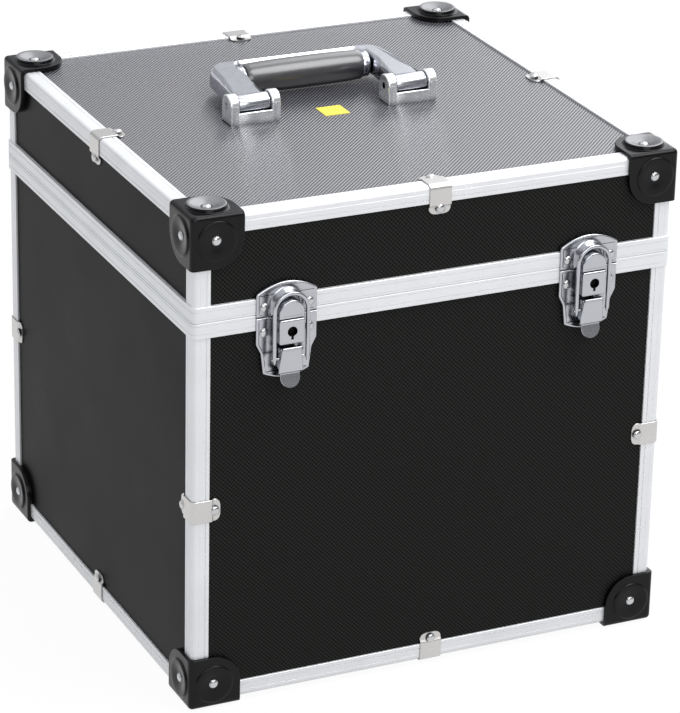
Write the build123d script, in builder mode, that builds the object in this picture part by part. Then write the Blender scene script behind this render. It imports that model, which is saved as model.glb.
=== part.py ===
from build123d import *
import math
import os

os.makedirs("parts", exist_ok=True)

# Aluminium frame: outside size, without the plastic corners
case_width = 372.0
case_depth = 368.0
case_height = 372.0
lid_height = 75.7
closure_gap = 0.3

# Edge extrusions
flange_width = 13.0
flange_thickness = 1.5
edge_cut = 1.6
line_inset = 3.2
line_width = 0.7
line_depth = 0.4

# Laminated boards
board_thickness = 6.5

# Closure extrusions round the opening
band_height = 11.5
band_proud = 1.2
band_cut = 2.2
channel_lip = 1.5
channel_lip_height = 10.0
tongue_inset = 3.5
tongue_width = 2.5
tongue_height = 3.5
tongue_side_gap = 0.8
tongue_back_gap = 1.0
tongue_top_gap = 1.0

# Plastic corners
corner_size = 40.8
corner_wall = 2.7
corner_bevel = 2.6
corner_round_cut = 12.0
corner_round_end_cut = 4.0
disc_height = 1.3
disc_radius = 14.6
disc_sides = 12
disc_inset = 16.0
dish_radius = 8.5
dish_floor_radius = 4.2
dish_depth = 1.3
dish_sides = 6

# Rivets
rivet_radius = 3.2
rivet_height = 1.25
rivet_slope = 40.0
rivet_sides = 6

# Edge clips
clip_width = 17.0
clip_leg = 21.5
clip_thickness = 1.0
clip_bend = 1.5
clip_end_cut = 4.4
clip_step_gap = 0.2
clip_rivet_inset = 17.0
post_clip_rise = 4.5
front_bottom_clip_x = 4.0

# Latch plates: x is measured from the latch's own centre line, and heights from the lid's joint line
latch_left_inset = 69.0
latch_right_inset = 66.6
plate_thickness = 1.5
plate_rim = 1.4
plate_half_width = 23.0
plate_lap = 1.9
plate_split_gap = 0.5
base_shoulder_z = -22.0
base_waist_half = 19.4
base_waist_z = -29.0
base_foot_half = 17.5
base_foot_z = -44.5
base_low_z = -48.8
base_bend_cut = 1.2
base_corner_cut = 1.2
keeper_shoulder_z = 15.5
keeper_apex_z = 22.9
keeper_corner_cut = 1.0
ramp_half_width = 12.8
ramp_top_z = 19.8
ramp_height = 3.5
ramp_slope = 2.0
catch_half_width = 9.3
catch_top_z = 11.7
catch_edge = 0.9
catch_gap = 0.3
latch_rivet_x = 16.9
keeper_rivet_z = 8.5
base_rivet_z = -13.0

# Lock case, its key post and its bolt
lock_half_width = 9.0
lock_low_z = -20.4
lock_height = 10.8
lock_wall = 1.2
lock_edge = 0.9
keyhole_z = -11.0
keyhole_radius = 3.7
keyslot_width = 1.9
keyslot_low_z = -17.0
key_post_radius = 1.3
key_post_short = 2.0
bolt_thickness = 1.6
bolt_half_width = 6.0
bolt_nose_half = 4.0
bolt_out = 9.6
bolt_top_z = -4.6
bolt_shoulder_z = -16.6
bolt_travel = 2.3
bolt_gap = 0.15
bolt_gate_half = 4.2

# Lever, its fulcrum and the pins
fulcrum_out = 9.3
fulcrum_z = -25.2
pin_radius = 1.0
pin_head_radius = 1.6
pin_head_height = 0.7
pin_side_gap = 0.05
running_gap = 0.05
fixed_gap = 0.02
ear_inner = 5.4
ear_outer = 6.6
ear_radius = 2.0
ear_foot_half = 3.4
round_sides = 12
arch_sides = 8
cheek_thickness = 1.2
lever_half_width = 8.4
lever_sheet = 1.2
lever_seat_gap = 0.3
tab_half_width = 7.5
tab_low_z = -53.7

# Bail, the loop that the lever pulls down
bail_out = 9.0
bail_pivot_z = -31.5
bail_back = 8.9
bail_thickness = 2.6
bail_inner_half = 11.0
bail_strip = 3.0
bail_top_z = 18.0
bail_tip_z = -35.4
bail_tip_x = 12.3
bail_taper_z = -27.5
bail_edge = 0.7
eye_radius = 2.3
eye_inner = 10.6
eye_outer = 13.8

# Back hinges
hinge_inset = 76.0
hinge_width = 50.0
hinge_pin_radius = 1.5
knuckle_radius = 3.0
knuckle_length = 16.0
knuckle_gap = 0.3
leaf_length = 28.0
leaf_rivet_x = 17.0
leaf_rivet_inset = 6.5

# Folding handle
handle_x = -3.5
handle_half_span = 63.3
bracket_half_width = 20.0
bracket_front = -12.6
bracket_back = 4.6
bracket_height = 21.5
bracket_cheek = 7.4
bracket_floor = 4.2
bracket_front_cut = 4.6
bracket_back_cut = 5.4
bracket_second_cut = 2.2
bracket_edge = 1.2
sill_height = 9.0
sill_wall = 2.0
handle_pin_radius = 2.5
handle_pivot_y = -4.0
handle_pivot_rise = 13.0
handle_knuckle_radius = 7.2
handle_side_gap = 0.3
bow_reach = 72.0
bow_half_width = 70.8
bow_arm_width = 17.8
bow_rise = 9.5
bow_spine = 7.5
bow_neck = 14.0
bow_corner = 15.0
bow_inner_corner = 2.5
bow_edge = 3.2
grip_offset = 52.0
grip_radius = 12.0
grip_end_radius = 11.0
grip_sides = 16
collar_length = 6.0
collar_radius = 9.6
core_radius = 5.0
core_socket = 6.0

# Screws that hold the handle brackets from inside the lid
screw_radius = 2.0
screw_head_radius = 4.0
screw_head_height = 2.2
screw_depth = 8.0
screw_inset = 3.5
screw_y = -3.0

# Linings and label
liner_thickness = 3.0
liner_gap = 1.0
label_width = 19.4
label_depth = 18.5
label_thickness = 0.3
label_x = -3.0
label_y = -7.5

# Worked out from the sizes above
corner_proud = corner_wall + disc_height
floor_z = corner_proud
top_z = floor_z + case_height
lid_z = top_z - lid_height
split_z = lid_z - closure_gap
board_out = flange_thickness
board_in = flange_thickness + board_thickness
channel_in = board_in + channel_lip
plate_face = band_proud + plate_thickness
lock_face = plate_face + lock_height
hinge_out = band_proud + knuckle_gap + knuckle_radius
centre_y = (lock_face - hinge_out - knuckle_radius) / 2
front_y = centre_y - case_depth / 2
back_y = centre_y + case_depth / 2
side_x = case_width / 2
tongue_in = tongue_inset + tongue_width
groove_out = tongue_inset - tongue_side_gap
groove_in = tongue_in + tongue_back_gap
groove_top = split_z + tongue_height + tongue_top_gap
body_band_low = split_z - band_height
lid_band_top = lid_z + band_height
keeper_low_z = plate_split_gap / 2 - plate_lap
base_top_z = -plate_split_gap / 2 - plate_lap
hinge_x = side_x - hinge_inset
post_clip_z = (floor_z + split_z) / 2 + post_clip_rise
catch_face = bail_back - catch_gap
lid_skin_z = top_z - board_out
lid_under_z = top_z - board_in
pivot_z = lid_skin_z + handle_pivot_rise
knuckle_half = bracket_half_width - bracket_cheek - handle_side_gap
grip_y = handle_pivot_y + grip_offset
bow_inner_half = bow_half_width - bow_arm_width
grip_half = bow_inner_half - collar_length
screw_x = bracket_half_width - screw_inset
front_back = Plane(origin=(0, centre_y, 0), z_dir=(0, 1, 0))
latches = {
    "left": latch_left_inset - side_x,
    "right": side_x - latch_right_inset,
}
brackets = {
    "left": handle_x - handle_half_span,
    "right": handle_x + handle_half_span,
}


def save(part, name):
    """Name one finished sub-part and write it."""
    part.label = name
    export_step(part, f"parts/{name}.step")


def save_group(name, pieces):
    """Write pieces that touch each other as separate solids of one sub-part."""
    save(Compound(children=[solid for piece in pieces for solid in piece.solids()]), name)


def front_plane(x, out):
    """Faces forward, out mm in front of the aluminium, with local Y upwards from the joint line."""
    return Plane(origin=(x, front_y - out, split_z), x_dir=(1, 0, 0), z_dir=(0, -1, 0))


def latch_side(x):
    """A side view of a latch: local X is the distance out from the aluminium, local Y the height
    above the joint line."""
    return Plane(origin=(x, front_y, split_z), x_dir=(0, -1, 0), z_dir=(-1, 0, 0))


def hinge_side(x):
    """A side view of a hinge: local X is the distance out from the back, local Y the height."""
    return Plane(origin=(x, back_y, 0), x_dir=(0, 1, 0), z_dir=(1, 0, 0))


def side_view(x):
    """A plane across the case, with local X towards the back and local Y upwards."""
    return Plane(origin=(x, 0, 0), x_dir=(0, 1, 0), z_dir=(1, 0, 0))


def fixed_hole(radius, mode=Mode.SUBTRACT):
    """A many-sided hole that holds a pin fast."""
    RegularPolygon(radius + fixed_gap, round_sides, major_radius=False, mode=mode)


def board(low, high):
    """A flat laminated board between two corner points."""
    size = [b - a for a, b in zip(low, high)]
    with BuildPart() as panel:
        with Locations(tuple((a + b) / 2 for a, b in zip(low, high))):
            Box(*size)
    return panel.part


def wall_boards(low_z, high_z):
    """Front, back, left and right boards between two heights."""
    long_x = side_x - board_out
    short_x = side_x - board_in
    return {
        "front_board": board(
            (-short_x, front_y + board_out, low_z), (short_x, front_y + board_in, high_z)
        ),
        "back_board": board(
            (-short_x, back_y - board_in, low_z), (short_x, back_y - board_out, high_z)
        ),
        "left_board": board(
            (-long_x, front_y + board_out, low_z), (-short_x, back_y - board_out, high_z)
        ),
        "right_board": board(
            (short_x, front_y + board_out, low_z), (long_x, back_y - board_out, high_z)
        ),
    }


# Boards of the body
for name, panel in wall_boards(floor_z + board_in, split_z - channel_lip).items():
    save(panel, f"body_{name}")
bottom_x = side_x - board_out
bottom = board(
    (-bottom_x, front_y + board_out, floor_z + board_out),
    (bottom_x, back_y - board_out, floor_z + board_in),
)
save(bottom, "body_bottom_board")

# Boards of the lid: the top one has holes for the bracket screws
for name, panel in wall_boards(groove_top + channel_lip, lid_under_z).items():
    save(panel, f"lid_{name}")
screw_places = [(x + s * screw_x, screw_y) for x in brackets.values() for s in (-1, 1)]
with BuildPart() as lid_top_board:
    with BuildSketch(Plane(origin=(0, centre_y, lid_under_z))):
        Rectangle(2 * bottom_x, case_depth - 2 * board_out)
        with Locations(*[(x, y - centre_y) for x, y in screw_places]):
            RegularPolygon(screw_radius + fixed_gap, rivet_sides, mode=Mode.SUBTRACT)
    extrude(amount=board_thickness)
save(lid_top_board.part, "lid_top_board")


def angle_profile():
    """An L section from the outside corner of the frame, with one fine line along each flange."""
    line_place = flange_width - line_inset
    with BuildSketch() as section:
        Rectangle(flange_width, flange_width, align=(Align.MIN, Align.MIN))
        chamfer(section.vertices().sort_by_distance((0, 0))[0], edge_cut)
        with Locations((flange_thickness, flange_thickness)):
            Rectangle(flange_width, flange_width, align=(Align.MIN, Align.MIN), mode=Mode.SUBTRACT)
        with Locations((line_place, line_depth / 2)):
            Rectangle(line_width, line_depth, mode=Mode.SUBTRACT)
        with Locations((line_depth / 2, line_place)):
            Rectangle(line_depth, line_width, mode=Mode.SUBTRACT)
    return section.sketch


angle = angle_profile()


def posts(low_z, high_z):
    """The four upright angles between two heights."""
    with BuildPart() as uprights:
        with BuildSketch(Plane(origin=(-side_x, front_y, low_z))):
            add(angle)
        extrude(amount=high_z - low_z)
        mirror(about=front_back)
        mirror(about=Plane.YZ)
    return uprights.part


def rails(z, up):
    """The four mitred lengths of angle round the bottom (up 1) or the top (up -1)."""
    with BuildPart() as front_rail:
        with BuildSketch(Plane(origin=(-side_x, front_y, z), x_dir=(0, 1, 0), z_dir=(up, 0, 0))):
            add(angle)
        extrude(amount=up * case_width)
        for x in (-side_x, side_x):
            split(bisect_by=Plane(origin=(x, front_y, z), z_dir=(-x, -side_x, 0)), keep=Keep.TOP)
    with BuildPart() as left_rail:
        with BuildSketch(Plane(origin=(-side_x, front_y, z), x_dir=(1, 0, 0), z_dir=(0, -up, 0))):
            add(angle)
        extrude(amount=-up * case_depth)
        split(bisect_by=Plane(origin=(-side_x, front_y, z), z_dir=(-1, 1, 0)), keep=Keep.TOP)
        split(bisect_by=Plane(origin=(-side_x, back_y, z), z_dir=(-1, -1, 0)), keep=Keep.TOP)
    back_rail = mirror(front_rail.part, about=front_back)
    right_rail = mirror(left_rail.part, about=Plane.YZ)
    return front_rail.part, back_rail, left_rail.part, right_rail


save(posts(floor_z + flange_width, body_band_low), "body_posts")
save(posts(lid_band_top, top_z - flange_width), "lid_posts")
save_group("body_bottom_rails", rails(floor_z, 1))
save_group("lid_top_rails", rails(top_z, -1))

# What the fine line along each outer band takes away
line_out = 2 * (band_proud - line_depth)
with BuildSketch() as band_floor:
    Rectangle(case_width + line_out, case_depth + line_out)
    chamfer(band_floor.vertices(), band_cut)
with BuildSketch() as band_line_cut:
    Rectangle(case_width + flange_width, case_depth + flange_width)
    add(band_floor.sketch, mode=Mode.SUBTRACT)
band_line = band_line_cut.sketch

# Body closure frame: outer band, web over the boards, inner lip and the tongue on top
with BuildPart() as body_closure_frame:
    for out, inset, low, high in (
        (band_proud, board_out, body_band_low, split_z),
        (0, channel_in, split_z - channel_lip, split_z),
        (-board_in, channel_in, split_z - channel_lip_height, split_z),
        (-tongue_inset, tongue_in, split_z - channel_lip, split_z + tongue_height),
    ):
        with BuildSketch(Plane(origin=(0, centre_y, low))) as loop:
            Rectangle(case_width + 2 * out, case_depth + 2 * out)
            if out > 0:
                chamfer(loop.vertices(), band_cut)
            Rectangle(case_width - 2 * inset, case_depth - 2 * inset, mode=Mode.SUBTRACT)
        extrude(amount=high - low)
    with BuildSketch(Plane(origin=(0, centre_y, body_band_low + line_inset))):
        add(band_line)
    extrude(amount=line_width, mode=Mode.SUBTRACT)
save(body_closure_frame.part, "body_closure_frame")

# Lid closure frame: the same section turned over, with a groove that clears the tongue
with BuildPart() as lid_closure_frame:
    for out, inset, low, high in (
        (band_proud, groove_out, lid_z, lid_band_top),
        (0, channel_in, groove_top, groove_top + channel_lip),
        (-groove_in, channel_in, lid_z, groove_top),
        (-board_in, channel_in, groove_top, lid_z + channel_lip_height),
    ):
        with BuildSketch(Plane(origin=(0, centre_y, low))) as loop:
            Rectangle(case_width + 2 * out, case_depth + 2 * out)
            if out > 0:
                chamfer(loop.vertices(), band_cut)
            Rectangle(case_width - 2 * inset, case_depth - 2 * inset, mode=Mode.SUBTRACT)
        extrude(amount=high - low)
    board_low = groove_top + channel_lip
    with BuildSketch(Plane(origin=(0, centre_y, board_low))):
        Rectangle(case_width - 2 * board_out, case_depth - 2 * board_out)
        Rectangle(case_width - 2 * board_in, case_depth - 2 * board_in, mode=Mode.SUBTRACT)
    extrude(amount=band_height, mode=Mode.SUBTRACT)
    with BuildSketch(Plane(origin=(0, centre_y, lid_band_top - line_inset - line_width))):
        add(band_line)
    extrude(amount=line_width, mode=Mode.SUBTRACT)
save(lid_closure_frame.part, "lid_closure_frame")


def corners(z, up):
    """The four moulded corners at the bottom (up 1) or the top (up -1), each a three-sided shell."""
    start = Vector(-side_x - corner_wall, front_y - corner_wall, z - up * corner_wall)
    span = corner_size - disc_height
    disc_place = disc_inset + corner_wall
    with BuildPart() as shells:
        with Locations(start + Vector(0, 0, 0 if up > 0 else -span)):
            Box(span, span, span, align=(Align.MIN, Align.MIN, Align.MIN))
        chamfer(shells.edges().sort_by_distance(start)[:3], corner_bevel)
        with Locations(start + Vector(corner_wall, corner_wall, corner_wall if up > 0 else -span - corner_wall)):
            Box(span, span, span, align=(Align.MIN, Align.MIN, Align.MIN), mode=Mode.SUBTRACT)
        for first, second in (((1, 0, 0), (0, 1, 0)), ((0, 1, 0), (0, 0, up)), ((0, 0, up), (1, 0, 0))):
            normal = Vector(first).cross(Vector(second))
            inward = normal if normal.Z * up + normal.X + normal.Y > 0 else -normal
            flat = Plane(origin=start, x_dir=first, z_dir=normal)
            with BuildSketch(flat) as outline:
                Rectangle(span, span, align=(Align.MIN, Align.MIN))
                chamfer(outline.vertices().sort_by_distance((0, 0))[-1], corner_round_cut)
                chamfer(outline.vertices().sort_by_distance((0, 0))[-2:], corner_round_end_cut)
            extrude(amount=span, dir=inward, mode=Mode.INTERSECT)
        for first, second in (((1, 0, 0), (0, 1, 0)), ((0, 1, 0), (0, 0, up)), ((0, 0, up), (1, 0, 0))):
            normal = Vector(first).cross(Vector(second))
            inward = normal if normal.Z * up + normal.X + normal.Y > 0 else -normal
            centre = start + (Vector(first) + Vector(second)) * disc_place - inward * disc_height
            front = Plane(origin=centre, x_dir=first, z_dir=inward)
            with BuildSketch(front):
                RegularPolygon(disc_radius, disc_sides)
            extrude(amount=disc_height)
            with BuildSketch(front):
                RegularPolygon(dish_radius, dish_sides)
            with BuildSketch(front.offset(dish_depth)):
                RegularPolygon(dish_floor_radius, dish_sides)
            loft(ruled=True, mode=Mode.SUBTRACT)
        mirror(about=front_back)
        mirror(about=Plane.YZ)
    return shells.part


save(corners(floor_z, 1), "body_corners")
save(corners(top_z, -1), "lid_corners")

# One edge clip: a strip bent over the frame's edge, with ends pressed down on to the boards
with BuildPart() as clip:
    with BuildSketch(Plane.YZ) as bend:
        with Locations((-clip_thickness, -clip_thickness)):
            Rectangle(
                clip_leg + clip_thickness, clip_leg + clip_thickness, align=(Align.MIN, Align.MIN)
            )
        Rectangle(clip_leg, clip_leg, align=(Align.MIN, Align.MIN), mode=Mode.SUBTRACT)
        chamfer(bend.vertices().sort_by_distance((0, 0))[0], clip_bend)
        corner = bend.vertices().sort_by_distance((-clip_thickness, -clip_thickness))[0]
        chamfer(corner, clip_bend + clip_thickness * (2 - 2**0.5))
        step = flange_width + clip_step_gap
        with Locations((step, 0)):
            Rectangle(clip_leg - step, board_out, align=(Align.MIN, Align.MIN))
        with Locations((0, step)):
            Rectangle(board_out, clip_leg - step, align=(Align.MIN, Align.MIN))
    extrude(amount=clip_width / 2, both=True)
    chamfer(clip.edges().filter_by(Axis.Z).group_by(Axis.Y)[-1], clip_end_cut)
    chamfer(clip.edges().filter_by(Axis.Y).group_by(Axis.Z)[-1], clip_end_cut)

# One domed rivet head, on the surface at its own Z of 0
with BuildPart() as rivet:
    with BuildSketch():
        RegularPolygon(rivet_radius, rivet_sides)
    extrude(amount=rivet_height, taper=rivet_slope)


def clip_plane(edge, first, second):
    """A clip's place on an edge, from the outward normals of the two faces that it bends over."""
    x_dir = Vector(second).cross(Vector(first))
    return Plane(origin=edge, x_dir=x_dir, z_dir=-Vector(first))


def clip_rivets(edge, first, second):
    """The two rivets of a clip, one through each leg."""
    a, b = Vector(first), Vector(second)
    return [
        Plane(origin=Vector(edge) - b * clip_rivet_inset + a * clip_thickness, z_dir=a),
        Plane(origin=Vector(edge) - a * clip_rivet_inset + b * clip_thickness, z_dir=b),
    ]


def corner_rivets(z, up):
    """The rivet seats in the dishes of four corners; up points out of the case."""
    out = corner_proud - dish_depth
    places = []
    for side in (-1, 1):
        for y, way in ((front_y, -1), (back_y, 1)):
            x = side * side_x
            near_x = x - side * disc_inset
            near_y = y - way * disc_inset
            near_z = z - up * disc_inset
            places.append(Plane(origin=(near_x, near_y, z + up * out), z_dir=(0, 0, up)))
            places.append(Plane(origin=(near_x, y + way * out, near_z), z_dir=(0, way, 0)))
            places.append(Plane(origin=(x + side * out, near_y, near_z), z_dir=(side, 0, 0)))
    return places


def edge_clips(z, up, front_x):
    """The clips at the middle of the four edges at one height."""
    return [
        ((front_x, front_y, z), (0, 0, up), (0, -1, 0)),
        ((0, back_y, z), (0, 0, up), (0, 1, 0)),
        ((-side_x, centre_y, z), (0, 0, up), (-1, 0, 0)),
        ((side_x, centre_y, z), (0, 0, up), (1, 0, 0)),
    ]


post_clips = [
    ((side * side_x, y, post_clip_z), (side, 0, 0), (0, way, 0))
    for side in (-1, 1)
    for y, way in ((front_y, -1), (back_y, 1))
]
body_clip_places = edge_clips(floor_z, -1, front_bottom_clip_x) + post_clips
lid_clip_places = edge_clips(top_z, 1, 0)

with BuildPart() as body_edge_clips:
    with Locations(*[clip_plane(*place) for place in body_clip_places]):
        add(clip.part)
save(body_edge_clips.part, "body_edge_clips")

with BuildPart() as lid_edge_clips:
    with Locations(*[clip_plane(*place) for place in lid_clip_places]):
        add(clip.part)
save(lid_edge_clips.part, "lid_edge_clips")

body_rivet_places = corner_rivets(floor_z, -1)
for place in body_clip_places:
    body_rivet_places += clip_rivets(*place)
with BuildPart() as body_rivets:
    with Locations(*body_rivet_places):
        add(rivet.part)
save(body_rivets.part, "body_rivets")

lid_rivet_places = corner_rivets(top_z, 1)
for place in lid_clip_places:
    lid_rivet_places += clip_rivets(*place)
with BuildPart() as lid_rivets:
    with Locations(*lid_rivet_places):
        add(rivet.part)
save(lid_rivets.part, "lid_rivets")


def bow_points(half_width, end_z, middle_z):
    """Points along one half of a shallow bowed edge, from its end to the middle."""
    steps = [1 - i / (round_sides / 3) for i in range(round_sides // 3 + 1)]
    return [(half_width * t, middle_z + (end_z - middle_z) * t**2) for t in steps]


def base_outline():
    """Front view of a latch's lower plate, about its own centre line."""
    with BuildSketch() as outline:
        with BuildLine():
            Polyline(
                (0, base_top_z),
                (plate_half_width, base_top_z),
                (plate_half_width, base_shoulder_z),
                (base_waist_half, base_waist_z),
                (base_foot_half, base_foot_z),
            )
            Polyline(*bow_points(base_foot_half, base_foot_z, base_low_z))
            mirror(about=Plane.YZ)
        make_face()
        bends = outline.vertices().filter_by_position(Axis.Y, base_waist_z - 1, base_shoulder_z + 1)
        chamfer(bends, base_bend_cut)
        feet = outline.vertices().filter_by_position(Axis.Y, base_foot_z - 1, base_foot_z + 1)
        chamfer(feet, base_corner_cut)
    return outline.sketch


def keeper_outline():
    """Front view of the lid's plate: square below, arched above."""
    with BuildSketch() as outline:
        with BuildLine():
            Polyline(
                (0, keeper_low_z), (plate_half_width, keeper_low_z), (plate_half_width, keeper_shoulder_z)
            )
            Polyline(*bow_points(plate_half_width, keeper_shoulder_z, keeper_apex_z))
            mirror(about=Plane.YZ)
        make_face()
        shoulders = outline.vertices().filter_by_position(
            Axis.Y, keeper_shoulder_z - 1, keeper_shoulder_z + 1
        )
        chamfer(shoulders, keeper_corner_cut)
    return outline.sketch


def arch_outline(half_width, low, top):
    """A tongue shape with a round end, which points down when top is below low."""
    way = 1 if top > low else -1
    angles = [math.pi * i / arch_sides for i in range(arch_sides + 1)]
    round_end = [
        (half_width * math.cos(t), top + way * half_width * (math.sin(t) - 1)) for t in angles
    ]
    with BuildSketch() as outline:
        Polygon((half_width, low), *round_end, (-half_width, low), align=None)
    return outline.sketch


base_shape = base_outline()
base_inside = offset(base_shape, amount=-plate_rim)
keeper_shape = keeper_outline()
keeper_inside = offset(keeper_shape, amount=-plate_rim)

# The lever's bent strip, outer face first to last: lip, flap, crease, step and finger tab
lever_line = (
    (fulcrum_out + 4.1, fulcrum_z + 1.8),
    (fulcrum_out + 3.6, fulcrum_z + 0.6),
    (bail_out + 2.4, bail_pivot_z - 5.7),
    (bail_out + 2.4, bail_pivot_z - 9.9),
    (bail_out + 0.6, bail_pivot_z - 11.9),
    (bail_out + 3.2, tab_low_z),
)
# Side view of a lever cheek: round the fulcrum, behind the flap and down to its seat on the base
cheek_line = (
    (fulcrum_out + 2.7, fulcrum_z + 1.2),
    (fulcrum_out + 0.1, fulcrum_z + 2.1),
    (fulcrum_out - 2.1, fulcrum_z + 1.0),
    (bail_out - 2.4, bail_pivot_z),
    (plate_face + lever_seat_gap, bail_pivot_z - 2.0),
    (plate_face + lever_seat_gap, bail_pivot_z - 7.5),
    (bail_out + 1.8, bail_pivot_z - 9.5),
    (bail_out + 1.8, bail_pivot_z - 5.7),
)

for side, x in latches.items():
    # Lower plate: a tray whose rim reaches the board below the band, with two ears for the lever
    with BuildPart() as base_plate:
        with BuildSketch(front_plane(x, band_proud)):
            add(base_shape)
        extrude(amount=plate_thickness)
        with BuildSketch(front_plane(x, -board_out)):
            add(base_shape)
            add(base_inside, mode=Mode.SUBTRACT)
            with Locations((0, -band_height)):
                Rectangle(
                    2 * plate_half_width,
                    base_top_z + band_height,
                    align=(Align.CENTER, Align.MIN),
                    mode=Mode.SUBTRACT,
                )
        extrude(amount=board_out + band_proud)
        for way in (-1, 1):
            with BuildSketch(latch_side(x + way * (ear_inner + ear_outer) / 2)):
                Polygon(
                    (plate_face, fulcrum_z - ear_foot_half),
                    (fulcrum_out, fulcrum_z - ear_radius),
                    (fulcrum_out, fulcrum_z + ear_radius),
                    (plate_face, fulcrum_z + ear_foot_half),
                    align=None,
                )
                with Locations((fulcrum_out, fulcrum_z)):
                    RegularPolygon(ear_radius, round_sides)
                    fixed_hole(pin_radius)
            extrude(amount=(ear_outer - ear_inner) / 2, both=True)
    save(base_plate.part, f"latch_base_{side}")

    # Lock case: a drawn cover with a keyhole in front and a slot for the bolt below
    lock_top_z = base_top_z
    with BuildPart() as lock_case:
        with BuildSketch(front_plane(x, plate_face)):
            with Locations((0, lock_low_z)):
                Rectangle(
                    2 * lock_half_width, lock_top_z - lock_low_z, align=(Align.CENTER, Align.MIN)
                )
        extrude(amount=lock_height)
        chamfer(lock_case.faces().sort_by(Axis.Y)[0].edges(), lock_edge)
        with BuildSketch(front_plane(x, plate_face)):
            with Locations((0, lock_low_z + lock_wall)):
                Rectangle(
                    2 * (lock_half_width - lock_wall),
                    lock_top_z - lock_low_z - 2 * lock_wall,
                    align=(Align.CENTER, Align.MIN),
                )
        extrude(amount=lock_height - lock_wall, mode=Mode.SUBTRACT)
        with BuildSketch(front_plane(x, lock_face)):
            with Locations((0, keyhole_z)):
                RegularPolygon(keyhole_radius, round_sides)
            with Locations((0, keyslot_low_z)):
                Rectangle(keyslot_width, keyhole_z - keyslot_low_z, align=(Align.CENTER, Align.MIN))
        extrude(amount=-2 * lock_wall, mode=Mode.SUBTRACT)
        with BuildSketch(front_plane(x, bolt_out - bolt_gap)):
            with Locations((0, lock_low_z)):
                Rectangle(2 * (bolt_nose_half + bolt_gap), 2 * lock_wall)
        extrude(amount=bolt_thickness + 2 * bolt_gap, mode=Mode.SUBTRACT)
    save(lock_case.part, f"lock_case_{side}")

    # The post that a key turns round
    with BuildPart() as key_post:
        with BuildSketch(front_plane(x, plate_face)):
            with Locations((0, keyhole_z)):
                RegularPolygon(key_post_radius, round_sides)
        extrude(amount=lock_height - key_post_short)
    save(key_post.part, f"key_post_{side}")

    # Lock bolt: a flat slide with a gate round the key post
    with BuildPart() as lock_bolt:
        with BuildSketch(front_plane(x, bolt_out)):
            with Locations((0, bolt_shoulder_z)):
                Rectangle(
                    2 * bolt_half_width, bolt_top_z - bolt_shoulder_z, align=(Align.CENTER, Align.MIN)
                )
            with Locations((0, lock_low_z)):
                Rectangle(
                    2 * bolt_nose_half, bolt_shoulder_z - lock_low_z, align=(Align.CENTER, Align.MIN)
                )
            with Locations((0, keyhole_z + bolt_travel / 2)):
                Rectangle(2 * bolt_gate_half, bolt_travel + 2 * bolt_gate_half, mode=Mode.SUBTRACT)
        extrude(amount=bolt_thickness)
    save(lock_bolt.part, f"lock_bolt_{side}")

    # Lever: flap and finger tab cut from one bent strip, with two cheeks folded back
    with BuildPart() as lever:
        with BuildSketch(latch_side(x)):
            with BuildLine():
                Polyline(*lever_line)
                offset(amount=lever_sheet, side=Side.RIGHT, kind=Kind.INTERSECTION)
            make_face()
        extrude(amount=lever_half_width, both=True)
        with BuildSketch(front_plane(x, 0)):
            flap_low_z = lever_line[4][1]
            with Locations((0, flap_low_z)):
                Rectangle(
                    2 * lever_half_width, lock_low_z - flap_low_z, align=(Align.CENTER, Align.MIN)
                )
            add(arch_outline(tab_half_width, flap_low_z, tab_low_z))
        extrude(amount=lock_face + plate_face, mode=Mode.INTERSECT)
        for way in (-1, 1):
            with BuildSketch(latch_side(x + way * (lever_half_width - cheek_thickness / 2))):
                Polygon(*cheek_line, align=None)
            extrude(amount=cheek_thickness / 2, both=True)
        with BuildSketch(latch_side(x)):
            with Locations((fulcrum_out, fulcrum_z)):
                Circle(pin_radius + running_gap)
            with Locations((bail_out, bail_pivot_z)):
                fixed_hole(pin_radius, Mode.ADD)
        extrude(amount=lever_half_width, both=True, mode=Mode.SUBTRACT)
    save(lever.part, f"latch_lever_{side}")

    # Pins: the fulcrum is held in the ears, the other carries the bail
    for name, out, z, reach in (
        ("fulcrum_pin", fulcrum_out, fulcrum_z, lever_half_width),
        ("bail_pin", bail_out, bail_pivot_z, eye_outer),
    ):
        shank = reach + pin_side_gap
        with BuildPart() as pin:
            with BuildSketch(latch_side(x)):
                with Locations((out, z)):
                    RegularPolygon(pin_radius, round_sides)
            extrude(amount=shank, both=True)
            for way in (-1, 1):
                with BuildSketch(latch_side(x + way * (shank + pin_head_height / 2))):
                    with Locations((out, z)):
                        RegularPolygon(pin_head_radius, rivet_sides)
                extrude(amount=pin_head_height / 2, both=True)
        save(pin.part, f"{name}_{side}")

    # Bail: a loop with a round top and pointed legs that carry its eyes
    outer_half = bail_inner_half + bail_strip
    with BuildPart() as bail:
        with BuildSketch(front_plane(x, bail_back)):
            add(arch_outline(outer_half, bail_taper_z, bail_top_z))
            opening = arch_outline(bail_inner_half, bail_taper_z, bail_top_z - bail_strip)
            add(opening, mode=Mode.SUBTRACT)
            for way in (-1, 1):
                Polygon(
                    (way * bail_inner_half, bail_taper_z),
                    (way * outer_half, bail_taper_z),
                    (way * bail_tip_x, bail_tip_z),
                    align=None,
                )
        extrude(amount=bail_thickness)
        chamfer(bail.faces().sort_by(Axis.Y)[0].edges(), bail_edge)
        for way in (-1, 1):
            with BuildSketch(latch_side(x + way * (eye_inner + eye_outer) / 2)):
                with Locations((bail_out, bail_pivot_z)):
                    RegularPolygon(eye_radius, round_sides)
            extrude(amount=(eye_outer - eye_inner) / 2, both=True)
        with BuildSketch(latch_side(x)):
            with Locations((bail_out, bail_pivot_z)):
                Circle(pin_radius + running_gap)
        extrude(amount=2 * eye_outer, both=True, mode=Mode.SUBTRACT)
    save(bail.part, f"latch_bail_{side}")

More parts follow.
